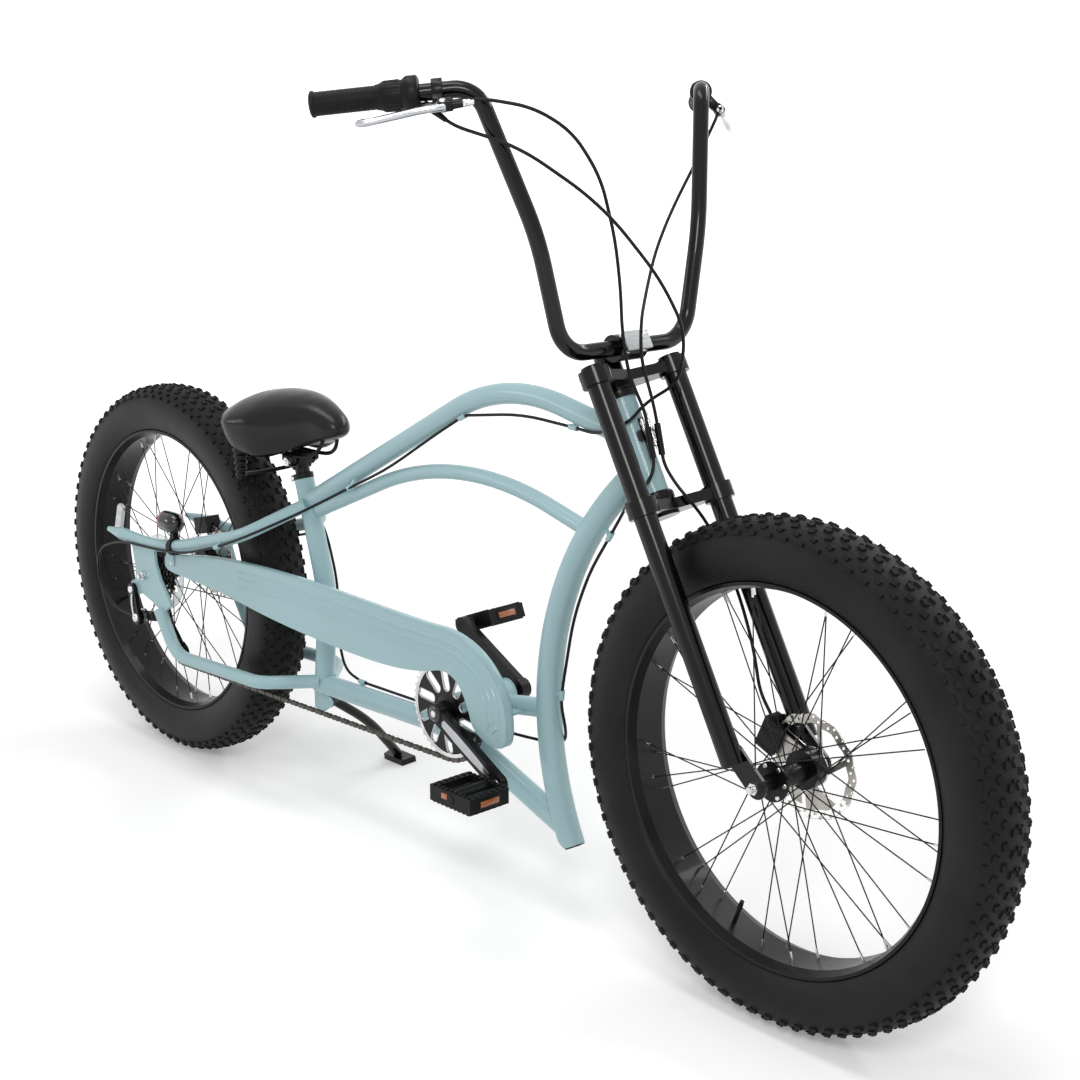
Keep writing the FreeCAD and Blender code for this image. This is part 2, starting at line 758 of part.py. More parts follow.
def crank_spindle():
    half = V(0, SPINDLE_END - 1, 0)
    return rod(BRACKET - half, BRACKET + half, SPINDLE_RADIUS)


# Pedal on the right side: end blocks, side bars and a centre barrel round an open cage
def pedal(centre, tilt_degrees):
    reach = V(PEDAL_LENGTH / 2, PEDAL_WIDTH / 2, PEDAL_HEIGHT / 2)
    pieces = []
    for end in (-1, 1):
        middle = centre + V(end * (reach.x - 7), 0, 0)
        half = V(7, reach.y, reach.z)
        pieces.append(block(middle - half, middle + half))
        middle = centre + V(0, end * (reach.y - 4), 0)
        half = V(reach.x, 4, reach.z)
        pieces.append(block(middle - half, middle + half))
    side = V(0, reach.y, 0)
    pieces.append(rod(centre - side, centre + side, 13))
    inner = CRANK_PLANE - CRANK_THICKNESS / 2
    pieces.append(rod(centre, V(centre.x, -inner, centre.z), 7))
    body = fuse(pieces)
    body.rotate(centre, LEFT, tilt_degrees)
    return body


def pedal_right():
    return pedal(BRACKET + CRANK_RUN - V(0, PEDAL_SIDE, 0), RIGHT_PEDAL_TILT_DEG)


def pedal_left():
    return mirrored(pedal(BRACKET - CRANK_RUN - V(0, PEDAL_SIDE, 0), LEFT_PEDAL_TILT_DEG))


# Steering
def clamp_plate(down):
    pieces = []
    low = steer_point(down, 0)
    high = steer_point(down + CLAMP_HEIGHT, 0)
    rise = high - low
    web = [(-20, -24), (LEG_AHEAD - 17, -LEG_SIDE), (LEG_AHEAD + 14, -LEG_SIDE), (LEG_AHEAD - 8, 0)]
    web += [(LEG_AHEAD + 14, LEG_SIDE), (LEG_AHEAD - 17, LEG_SIDE), (-20, 24)]
    corners = [steer_point(down + 4, ahead, side) for ahead, side in web]
    pieces.append(Part.Face(polygon(corners)).extrude(STEER_DOWN * (CLAMP_HEIGHT - 8)))
    pieces.append(rod(low, high, CUP_RADIUS))
    for side in (-LEG_SIDE, LEG_SIDE):
        base = steer_point(down, LEG_AHEAD, side)
        pieces.append(rod(base, base + rise, LEG_RADIUS + CLAMP_WALL))
    body = fuse(pieces)
    for side in (-LEG_SIDE, LEG_SIDE):
        base = steer_point(down - 1, LEG_AHEAD, side)
        body = body.cut(rod(base, base + rise * 1.2, LEG_RADIUS + 0.05))
    return body.cut(rod(low - STEER_DOWN, high + STEER_DOWN, STEERER_RADIUS + 0.05))


def fork_clamps():
    return Part.makeCompound([clamp_plate(UPPER_CLAMP_DOWN), clamp_plate(LOWER_CLAMP_DOWN)])


def steerer():
    low = steer_point(LOWER_CLAMP_DOWN + CLAMP_HEIGHT, 0)
    return rod(steer_point(UPPER_CLAMP_DOWN, 0), low, STEERER_RADIUS)


# Leg on the right, with its dropout plate down to the axle
def fork_leg():
    top = steer_point(UPPER_CLAMP_DOWN - 5, LEG_AHEAD, -LEG_SIDE)
    end_down = AXLE_DOWN - LEG_END_ABOVE_AXLE
    end = steer_point(end_down, LEG_AHEAD, -LEG_SIDE)
    leg = rod(top, end, LEG_RADIUS)
    inner = -FRONT_HUB_WIDTH / 2
    outer = inner - FORK_DROPOUT_THICKNESS
    shoulder = steer_point(end_down - 12, LEG_AHEAD)
    tab = link_plate(shoulder, FRONT_AXLE, 17, outer, inner)
    hole = rod(FRONT_AXLE - V(0, 200, 0), FRONT_AXLE, AXLE_RADIUS + 0.1)
    return fuse([leg, tab]).cut(hole)


# Handlebar corners as (left, above the upper clamp, ahead), and the radius of each bend
BAR_ROUTE = ((0, 28, 44), (126, 28, 44), (165, 179, 114), (227, 383, 161), (391, 435, 16))
BAR_BENDS = (55.0, 400.0, 42.0)
GRIP_LENGTH = 94.0
LEVER_CLAMP_WIDTH = 16.0
RIGHT_LEVER_AT = 44.0
RIGHT_LEVER_DOWN_DEG = 28.0
LEFT_LEVER_AT = 60.0
LEFT_LEVER_DOWN_DEG = 45.0


def bar_points(side):
    top = UPPER_CLAMP_DOWN
    return [steer_point(top - above, ahead, side * left) for left, above, ahead in BAR_ROUTE]


def handlebar():
    right = bar_points(-1)[::-1]
    left = bar_points(1)[1:]
    bends = list(BAR_BENDS)
    middle = right[:-1] + left
    return tube(middle, BAR_RADIUS, bends[::-1] + bends)


def grip(side, length):
    points = bar_points(side)
    out = (points[-1] - points[-2]).normalize()
    end = points[-1] + out * 2
    start = end - out * length
    return rod(start, end, GRIP_RADIUS).cut(rod(start - out, points[-1], BAR_RADIUS + 0.05))


def grips():
    return Part.makeCompound([grip(-1, GRIP_LENGTH), grip(1, GRIP_LENGTH + 32)])


def stem():
    seat = steer_point(UPPER_CLAMP_DOWN, 0)
    top = steer_point(UPPER_CLAMP_DOWN - STEM_LENGTH, 0)
    bar = bar_points(1)[0]
    side = V(0, 27, 0)
    arm = rod(steer_point(UPPER_CLAMP_DOWN - BAR_ROUTE[0][1], 0), bar, STEM_RADIUS - 5)
    body = fuse([rod(seat, top, STEM_RADIUS), arm, rod(bar - side, bar + side, STEM_RADIUS + 1)])
    return body.cut(rod(bar - side * 2, bar + side * 2, BAR_RADIUS + 0.05))


# Right-angled directions at a grip: out along it, towards the fingers of a lever that is turned
# down by some degrees, and across both
def lever_frame(side, down_degrees):
    points = bar_points(side)
    out = (points[-1] - points[-2]).normalize()
    level = out.cross(UP).normalize()
    if level.x < 0:
        level = level * -1
    drop = math.radians(down_degrees)
    below = level.cross(out).normalize()
    if below.z > 0:
        below = below * -1
    fingers = level * math.cos(drop) + below * math.sin(drop)
    return points[-2], out, fingers, out.cross(fingers).normalize()


# Outline of a lever's blade, as (along the grip from its clamp, away from the bar)
BLADE_OUTLINE = (
    (-4, 34),
    (8, 30),
    (34, 42),
    (104, 62),
    (116, 62),
    (118, 71),
    (104, 72),
    (60, 62),
    (28, 54),
    (2, 52),
)


def brake_lever(side, clamp_at, down_degrees):
    corner, out, fingers, across = lever_frame(side, down_degrees)
    start = corner + out * clamp_at
    ring = rod(start, start + out * LEVER_CLAMP_WIDTH, BAR_RADIUS + 5)
    middle = start + out * (LEVER_CLAMP_WIDTH / 2)
    perch = rod(middle, middle + fingers * 40, 7)
    corners = [start + out * a + fingers * b - across * 5 for a, b in BLADE_OUTLINE]
    blade = Part.Face(polygon(corners)).extrude(across * 10)
    hole = rod(start - out * 9, start + out * 30, BAR_RADIUS + 0.05)
    return fuse([ring, perch, blade]).cut(hole)


def brake_levers():
    right = brake_lever(-1, RIGHT_LEVER_AT, RIGHT_LEVER_DOWN_DEG)
    left = brake_lever(1, LEFT_LEVER_AT, LEFT_LEVER_DOWN_DEG)
    return Part.makeCompound([right, left])


def twist_shifter():
    corner, out = lever_frame(-1, 0)[:2]
    grip_start = bar_points(-1)[-1] + out * (2 - GRIP_LENGTH)
    start = corner + out * 78
    body = rod(start, start + out * 22, 25)
    twist = rod(start, grip_start - out * 0.5, 19)
    hole = rod(start - out, grip_start + out, BAR_RADIUS + 0.05)
    return fuse([body, twist]).cut(hole)


def front_reflector():
    bar = bar_points(1)[0]
    ahead = (steer_point(0, 1) - steer_point(0, 0)).normalize()
    face = bar + ahead * (STEM_RADIUS + 1.3)
    corners = [face + STEER_DOWN * a + V(0, b, 0) for a, b in ((-15, -25), (-15, 25), (15, 25), (15, -25))]
    return Part.Face(polygon(corners)).extrude(ahead * 11)


# Disc brake caliper over the rotor's rim, at an angle round the wheel from straight ahead
def caliper(centre, degrees, rotor_left, inner, outer):
    low = V(ROTOR_RADIUS - CALIPER_REACH, inner, -CALIPER_HALF_LENGTH)
    high = V(ROTOR_RADIUS + CALIPER_WALL, outer, CALIPER_HALF_LENGTH)
    body = block(centre + low, centre + high)
    body.rotate(centre, LEFT, -degrees)
    reach = ROTOR_RADIUS + CALIPER_SLOT
    rows = [(ROTOR_SEAT_RADIUS, -CALIPER_SLOT), (reach, -CALIPER_SLOT), (reach, CALIPER_SLOT)]
    rows.append((ROTOR_SEAT_RADIUS, CALIPER_SLOT))
    return body.cut(turned(centre, [(r, rotor_left + w) for r, w in rows]))


def rear_caliper(stay):
    body = caliper(REAR_AXLE, REAR_CALIPER_DEG, REAR_ROTOR, REAR_ROTOR - 12, STAY_SIDE - 7)
    return body.cut(mirrored(stay))


def front_caliper():
    body = caliper(FRONT_AXLE, FRONT_CALIPER_DEG, FRONT_ROTOR, FRONT_ROTOR - 13, FRONT_ROTOR + 16)
    seat = wheel_point(FRONT_AXLE, ROTOR_RADIUS, FRONT_CALIPER_DEG, 0)
    leg = steer_point(AXLE_DOWN - LEG_END_ABOVE_AXLE - 16, LEG_AHEAD)
    bracket = link_plate(seat, leg, 11, FRONT_ROTOR + 7, FRONT_ROTOR + 16)
    return fuse([body, bracket]).cut(mirrored(fork_leg()))


# Round lamp standing on the right seat stay
def rear_lamp(stay):
    back = by_axle(LAMP_X - 22, LAMP_ABOVE, -STAY_SIDE)
    lamp = rod(back, back + V(30, 0, 0), 20)
    band = by_axle(LAMP_X, LAMP_STAY_ABOVE, -STAY_SIDE)
    clamp = rod(band, band + V(14, 0, 3.5), STAY_RADIUS + 4)
    arm = block(band + V(1, -6, 0), band + V(13, 6, LAMP_ABOVE - LAMP_STAY_ABOVE - 8))
    return fuse([lamp, clamp, arm]).cut(stay)


# Cables. The gear cable and the rear brake's come from the right grip and pass to the frame, which
# carries the rest of each in guides. The front brake's comes from the left lever and turns with the fork.
GEAR_CABLE_BAR = (
    steer_point(-569.9, 111.4, -276),
    steer_point(-532.7, 125.4, -258),
    steer_point(-474.7, 173.5, -200),
    steer_point(-372.8, 197.8, -110),
    steer_point(-264.2, 179.9, -30),
    steer_point(-193.7, 146.2, 20),
    steer_point(-139.4, 84.8, 38),
    steer_point(-131.3, 34.9, 12),
    steer_point(-109.2, 25.2, -25),
    steer_point(-109.8, -5.2, -34),
    steer_point(-120, -55.5, -19),
    steer_point(-142.9, -97.6, -9),
)
GEAR_CABLE_FRAME = (
    by_seat(676, 438, -9),
    by_seat(660, 439, -9),
    by_seat(552, 444, -9),
    by_seat(418, 425, -9),
    by_seat(402, 417, -9),
    by_seat(349, 387, -10),
    by_seat(217, 307, -14),
    by_seat(127, 264, -19),
    by_seat(24, 205, -60),
    by_seat(-65, 157, -STAY_SIDE - 16),
    by_seat(-161, 119, -STAY_SIDE - 16),
    by_seat(-290, 80, -STAY_SIDE - 16),
    by_seat(-380, 70, -STAY_SIDE - 16),
    by_seat(-527, 63, -STAY_SIDE - 16),
    by_seat(-617, 32, -STAY_SIDE - 14),
    by_seat(-637, -38, -STAY_SIDE - 10),
    by_seat(-587, -89, -96),
    by_seat(-510, -92, -94),
)
BRAKE_CABLE_BAR = (
    steer_point(-561, 136.2, -277),
    steer_point(-548.1, 172.4, -236),
    steer_point(-512.8, 212.4, -188),
    steer_point(-468.4, 227, -148),
    steer_point(-408.1, 212.5, -110),
    steer_point(-335.4, 163.9, -72),
    steer_point(-277.2, 114.1, -44),
    steer_point(-226.3, 81.9, -36),
    steer_point(-169.8, 60.3, -30),
    steer_point(-120.9, 49.7, -14),
    steer_point(-106.7, 46.6, -12),
    steer_point(-33, 29.3, -12),
    steer_point(-9.3, 16.4, -34),
    steer_point(-3.5, -23.2, -34),
    steer_point(2.4, -62.7, -10),
    steer_point(21.5, -105, -5),
)
BRAKE_CABLE_FRAME = (
    by_seat(748, 289, -5),
    by_seat(738, 275, -4),
    by_seat(699, 218, -3),
    by_seat(661, 137, 0),
    by_seat(637, 19, 0),
    by_seat(633, -13, 0),
    by_seat(637, -61, 8),
    by_seat(613, -89, 27),
    by_seat(573, -99, 27),
    by_seat(493, -102, 16),
    by_seat(333, -101, 8),
    by_seat(97, -106, 8),
    by_seat(45, -97, 14),
    by_seat(11, -43, 25),
    by_seat(17, 57, 24),
    by_seat(-12, 139, 25),
    by_seat(-67, 155, 52),
    by_seat(-137, 117, 91),
    by_seat(-267, 80, 91),
    by_seat(-357, 57, 88),
    by_seat(-407, 54, 79),
    by_seat(-461, 61, 75),
)
FRONT_BRAKE_CABLE = (
    steer_point(-556, 124.4, 291),
    steer_point(-536.6, 143.4, 266),
    steer_point(-477.9, 104.7, 225),
    steer_point(-409.9, 79.2, 160),
    steer_point(-346.8, 77.9, 95),
    steer_point(-284.4, 83.9, 40),
    steer_point(-233.9, 97.4, -8),
    steer_point(-183.5, 76.9, -13),
    steer_point(-135.8, 60.1, 0),
    steer_point(-107.4, 53.7, 2),
    steer_point(-35.5, 35.2, 2),
    steer_point(-0.4, 41.2, 6),
    steer_point(33.9, 49.9, 16),
    steer_point(58.4, 32, 48),
    steer_point(108.3, 27.7, 65),
    steer_point(183.6, 30, 64),
    steer_point(254.1, 23.6, 62),
    steer_point(318.3, 5.8, 62),
    steer_point(359.4, 16.5, 57),
)
# Guides: the tube that each stands on, the cable's place in it, its direction there and its foot
GEAR_GUIDES = (
    ("top", by_seat(668, 438.5, -9), V(-1, 0, 0.06), by_seat(668, 453, 0)),
    ("top", by_seat(410, 421, -9), V(-0.9, 0, -0.45), by_seat(410, 435, 0)),
    ("top", by_seat(123, 262, -20.7), V(-0.8, -0.3, -0.45), by_seat(119, 279, -4)),
    ("seat_stay", by_seat(-177, 114, -STAY_SIDE - 16), V(-0.957, 0, -0.29), by_seat(-177, 125, -91)),
)
BRAKE_GUIDES = (
    ("down", by_seat(743, 282, -4), V(-0.57, 0, -0.82), by_seat(729, 291, 0)),
    ("down", by_seat(635, 3, 0), V(-0.1, 0, -1), by_seat(618, 3, 0)),
    ("bottom", by_seat(105, -106, 8), V(-1, 0, 0), by_seat(105, -123, 2)),
)


def cable(points):
    return tube(points, CABLE_RADIUS)


# In-line adjuster along a run of a cable
def adjuster(start, end):
    middle = (start + end) * 0.5
    half = (end - start).normalize() * (ADJUSTER_LENGTH / 2)
    return rod(middle - half, middle + half, ADJUSTER_RADIUS)


def bar_cables(shifter, levers):
    gear = cable(GEAR_CABLE_BAR).cut(shifter)
    brake = fuse([cable(BRAKE_CABLE_BAR), adjuster(*BRAKE_CABLE_BAR[10:12])])
    return Part.makeCompound([gear, brake.cut(levers)])


def frame_cables(derailleur, brake_caliper):
    gear = cable(GEAR_CABLE_FRAME).cut(derailleur)
    brake = cable(BRAKE_CABLE_FRAME).cut(brake_caliper)
    return Part.makeCompound([gear, brake])


def front_brake_cable(levers, brake_caliper):
    run = cable(FRONT_BRAKE_CABLE)
    body = fuse([run, adjuster(*FRONT_BRAKE_CABLE[9:11])])
    return body.cut(levers).cut(brake_caliper)


def cable_guides(whole):
    clips = []
    for rows, points in ((GEAR_GUIDES, GEAR_CABLE_FRAME), (BRAKE_GUIDES, BRAKE_CABLE_FRAME)):
        line = cable(points)
        for name, place, run, foot in rows:
            half = run.normalize() * (GUIDE_LENGTH / 2)
            clip = fuse([rod(place - half, place + half, GUIDE_RADIUS), rod(foot, place, GUIDE_RADIUS - 1)])
            clips.append(clip.cut(whole[name]).cut(line))
    return Part.makeCompound(clips)


# Side stand. Its sole lies in the plane that is the floor once the bicycle leans.
def lean_drop():
    lean = math.radians(LEAN_DEG)
    height = TYRE_RADIUS - RIM_SEAT_RADIUS
    corners = [(RIM_SEAT_RADIUS + a * height, b * TYRE_HALF_WIDTH) for a, b in TYRE_OUTSIDE]
    return max(r * math.cos(lean) + w * math.sin(lean) for r, w in corners)


def floor_under(x, y):
    lean = math.radians(LEAN_DEG)
    return V(x, y, AXLE_Z - lean_drop() / math.cos(lean) + y * math.tan(lean))


# Sole of the stand, as (ahead, left)
STAND_FOOT_OUTLINE = ((-28, -14), (28, -14), (34, 16), (-34, 16))
FLOOR_UP = V(0, -math.sin(math.radians(LEAN_DEG)), math.cos(math.radians(LEAN_DEG)))
STAND_SOLE = floor_under(SEAT_X - STAND_FOOT_BACK, STAND_FOOT_Y)


def kickstand():
    ankle = STAND_SOLE + FLOOR_UP * 14
    elbow = STAND_PIVOT + (ankle - STAND_PIVOT) * 0.45 + V(14, 6, 9)
    leg = tube([STAND_PIVOT, elbow, ankle], STAND_LEG_RADIUS)
    half = STAND_AXIS * STAND_HINGE_HALF
    hinge = rod(STAND_PIVOT - half, STAND_PIVOT + half, STAND_HINGE_RADIUS)
    lean = math.radians(LEAN_DEG)
    across = V(0, math.cos(lean), math.sin(lean))
    corners = [STAND_SOLE + V(a, 0, 0) + across * b for a, b in STAND_FOOT_OUTLINE]
    foot = Part.Face(polygon(corners)).extrude(FLOOR_UP * 12)
    return fuse([leg, hinge, foot])


# Bracket that carries the stand's hinge under the bottom tube
def stand_bracket():
    near = STAND_PIVOT - STAND_AXIS * (STAND_HINGE_HALF + RUNNING_GAP)
    far = near - STAND_AXIS * 26
    boss = rod(near, far, STAND_HINGE_RADIUS - 1)
    web = block(V(far.x - 14, far.y - 3, far.z), V(far.x + 14, far.y + 9, BOTTOM_TUBE_ROUTE[2].z))
    return fuse([boss, web])


def leaned(shape, origin):
    shape = shape.copy()
    shape.rotate(REAR_AXLE, V(1, 0, 0), -LEAN_DEG)
    shape.translate(V(0, 0, lean_drop() - AXLE_Z) - origin)
    return shape


def seat_stay_with_tail():
    stay = tube(SEAT_STAY_ROUTE, STAY_RADIUS, SEAT_STAY_BENDS)
    root = SEAT_STAY_ROUTE[-1]
    run = root - SEAT_STAY_ROUTE[-2]
    tail = Part.makeCone(STAY_RADIUS, STAY_TAIL_RADIUS, STAY_TAIL_LENGTH, root, run)
    return fuse([stay, tail])


# Whole tubes, before each is cut where it meets another
def whole_tubes():
    side = V(0, BRACKET_HALF_WIDTH, 0)
    return {
        "head": rod(steer_point(-HEAD_LENGTH, 0), steer_point(0, 0), HEAD_RADIUS),
        "down": arc_tube(DOWN_TUBE_ARC, DOWN_TUBE_RADIUS).cut(under_bottom_tube()),
        "top": tube(TOP_TUBE_ROUTE, TOP_TUBE_RADIUS, TOP_TUBE_BENDS),
        "mid": tube(MID_TUBE_ROUTE, MID_TUBE_RADIUS, MID_TUBE_BENDS),
        "bottom": tube(BOTTOM_TUBE_ROUTE, BOTTOM_TUBE_RADIUS, BOTTOM_TUBE_BENDS),
        "seat": tube(SEAT_TUBE_ROUTE, SEAT_TUBE_RADIUS, SEAT_TUBE_BENDS),
        "cross": rod(BRACKET, CROSS_TUBE_END, CROSS_TUBE_RADIUS),
        "shell": rod(BRACKET - side, BRACKET + side, BRACKET_RADIUS),
        "seat_stay": seat_stay_with_tail(),
        "chain_stay": tube(CHAIN_STAY_ROUTE, STAY_RADIUS, CHAIN_STAY_BENDS),
    }


# A solid less the others that it meets
def less(shape, cutters):
    for cutter in cutters:
        shape = shape.cut(cutter)
    return shape


def frame_tubes(whole):
    head, down, top, mid = whole["head"], whole["down"], whole["top"], whole["mid"]
    bottom, seat, cross, shell = whole["bottom"], whole["seat"], whole["cross"], whole["shell"]
    seat_stay, chain_stay = whole["seat_stay"], whole["chain_stay"]
    stay = less(seat_stay, [seat, top])
    lower = less(chain_stay, [seat, bottom])
    right = dropout((seat_stay, chain_stay))
    rear, front = guard_brackets(seat_stay)
    bracket = less(stand_bracket(), [bottom, chain_stay, mirrored(chain_stay), seat])
    return {
        "head_tube": head_tube(),
        "down_tube": down.cut(head),
        "top_tube": less(top, [head, down]),
        "seat_tube": seat.cut(top),
        "mid_tube": less(mid, [down, top, seat]),
        "bottom_tube": less(bottom, [down, shell, seat]),
        "cross_tube": less(cross, [down, shell, bottom]),
        "bottom_bracket": bottom_bracket(),
        "stand_bracket": bracket,
        "seat_stay_right": stay,
        "seat_stay_left": mirrored(stay),
        "chain_stay_right": lower,
        "chain_stay_left": mirrored(lower),
        "dropouts": Part.makeCompound([right, mirrored(right)]),
        "chain_guard": chain_guard(),
        "guard_brackets": Part.makeCompound([rear, front.cut(cross)]),
    }


def pieces():
    whole = whole_tubes()
    nodes = frame_tubes(whole)
    nodes["headset_cups"] = headset_cups()
    nodes["rear_axle"] = axle(REAR_AXLE, REAR_HUB_WIDTH, DROPOUT_THICKNESS)
    nodes["seat_post"] = seat_post()
    nodes["saddle_frame"] = saddle_frame()
    nodes["saddle"] = saddle()
    nodes["cassette"] = cassette()
    nodes["chain"] = chain()
    nodes["rear_derailleur"] = rear_derailleur()
    nodes["rear_caliper"] = rear_caliper(whole["seat_stay"])
    nodes["rear_lamp"] = rear_lamp(whole["seat_stay"])
    nodes["rear_tyre"] = tyre(REAR_AXLE)
    nodes["rear_rim"] = rim(REAR_AXLE)
    nodes["rear_spokes"] = spokes(REAR_AXLE, *REAR_FLANGES)
    nodes["rear_hub"] = hub(REAR_AXLE, REAR_HUB_WIDTH, *REAR_FLANGES, REAR_ROTOR, CASSETTE_BORE - 0.5)
    nodes["rear_rotor"] = rotor(REAR_AXLE, REAR_ROTOR)
    nodes["steerer"] = steerer()
    nodes["fork_clamps"] = fork_clamps()
    nodes["fork_leg_right"] = fork_leg()
    nodes["fork_leg_left"] = mirrored(fork_leg())
    nodes["front_axle"] = axle(FRONT_AXLE, FRONT_HUB_WIDTH, FORK_DROPOUT_THICKNESS)
    nodes["stem"] = stem()
    nodes["handlebar"] = handlebar()
    nodes["grips"] = grips()
    nodes["brake_levers"] = brake_levers()
    nodes["twist_shifter"] = twist_shifter()
    nodes["front_caliper"] = front_caliper()
    nodes["front_reflector"] = front_reflector()
    nodes["front_tyre"] = tyre(FRONT_AXLE)
    nodes["front_rim"] = rim(FRONT_AXLE)
    nodes["front_spokes"] = spokes(FRONT_AXLE, *FRONT_FLANGES)
    nodes["front_hub"] = hub(FRONT_AXLE, FRONT_HUB_WIDTH, *FRONT_FLANGES, FRONT_ROTOR, HUB_END_RADIUS)
    nodes["front_rotor"] = rotor(FRONT_AXLE, FRONT_ROTOR)
    nodes["chainring"] = chainring()
    nodes["crank_right"] = crank_right()
    nodes["crank_left"] = crank_left()
    nodes["crank_spindle"] = crank_spindle()
    nodes["pedal_right"] = pedal_right()
    nodes["pedal_left"] = pedal_left()
    nodes["kickstand"] = kickstand()
    levers = nodes["brake_levers"]
    nodes["bar_cables"] = bar_cables(nodes["twist_shifter"], levers)
    nodes["front_brake_cable"] = front_brake_cable(levers, nodes["front_caliper"])
    nodes["frame_cables"] = frame_cables(nodes["rear_derailleur"], nodes["rear_caliper"])
    nodes["cable_guides"] = cable_guides(whole)
    nodes["rear_lamp"] = nodes["rear_lamp"].cut(nodes["frame_cables"])
    return nodes


def origin_of(nodes):
    ends = leaned(nodes["grips"], V(0, 0, 0)).BoundBox
    length = FRONT_AXLE.x
    return V(length / 2, (ends.YMin + ends.YMax) / 2, 0)


os.makedirs("parts", exist_ok=True)
NODES = pieces()
ORIGIN = origin_of(NODES)
for name, shape in NODES.items():
    placed = leaned(shape, ORIGIN)
    print(name, len(placed.Solids), placed.isValid(), round(placed.Volume / 1000, 1), "cm3")
    placed.exportStep("parts/" + name + ".step")
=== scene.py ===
import json
import math

import bmesh
import bpy
from mathutils import Matrix, Vector


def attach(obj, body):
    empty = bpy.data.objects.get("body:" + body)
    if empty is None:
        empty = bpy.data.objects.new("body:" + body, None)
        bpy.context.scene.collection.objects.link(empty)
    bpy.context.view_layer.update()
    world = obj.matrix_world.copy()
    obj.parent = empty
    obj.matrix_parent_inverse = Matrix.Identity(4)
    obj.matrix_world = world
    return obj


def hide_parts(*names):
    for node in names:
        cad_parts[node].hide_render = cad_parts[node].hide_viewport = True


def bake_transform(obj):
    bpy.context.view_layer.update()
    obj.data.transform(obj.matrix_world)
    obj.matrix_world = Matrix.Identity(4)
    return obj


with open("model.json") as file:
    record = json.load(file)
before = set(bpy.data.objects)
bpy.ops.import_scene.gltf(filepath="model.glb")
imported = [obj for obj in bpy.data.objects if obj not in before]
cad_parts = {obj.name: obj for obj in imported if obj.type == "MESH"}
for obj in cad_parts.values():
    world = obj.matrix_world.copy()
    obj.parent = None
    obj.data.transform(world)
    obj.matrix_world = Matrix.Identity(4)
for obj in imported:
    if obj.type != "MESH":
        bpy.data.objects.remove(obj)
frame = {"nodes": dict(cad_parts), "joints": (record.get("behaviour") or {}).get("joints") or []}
nodes = frame["nodes"]
joints = {joint["name"]: joint for joint in frame["joints"]}
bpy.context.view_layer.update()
print("frame loaded,", len(nodes), "nodes")

# The bicycle's own upright frame in millimetres: ahead, left, up, with the rear axle over its start
bike = {"tyreRadius": 373, "chainSide": 71}
leftWay = Vector(joints["rear_wheel_spin"]["axis"])
upWay = Vector((1, 0, 0)).cross(leftWay)
turned = Matrix((Vector((1, 0, 0)), leftWay, upWay)).transposed().to_4x4()
onBike = (Matrix.Translation(joints["rear_wheel_spin"]["pos_m"]) @ turned
          @ Matrix.Scale(0.001, 4) @ Matrix.Translation((0, 0, -bike["tyreRadius"])))
rearAxle = Vector((0, 0, bike["tyreRadius"]))
frontAxle = onBike.inverted() @ Vector(joints["front_wheel_spin"]["pos_m"])
bracket = onBike.inverted() @ Vector(joints["crank_spin"]["pos_m"])
headFoot = onBike.inverted() @ Vector(joints["steer"]["pos_m"])
steerUp = (turned.transposed() @ Vector(joints["steer"]["axis"])).normalized()
steerAhead = Vector((0, 1, 0)).cross(steerUp)
across = Vector((0, 1, 0))


# A point by its height over the head tube's foot along the steering axis, ahead of it and left
def steerPoint(up, ahead, left=0):
    return headFoot + steerUp * up + steerAhead * ahead + across * left


# Looks
def colour(red, green, blue):
    def linear(value):
        value /= 255
        return value / 12.92 if value < 0.04045 else ((value + 0.055) / 1.055) ** 2.4
    return (linear(red), linear(green), linear(blue), 1)


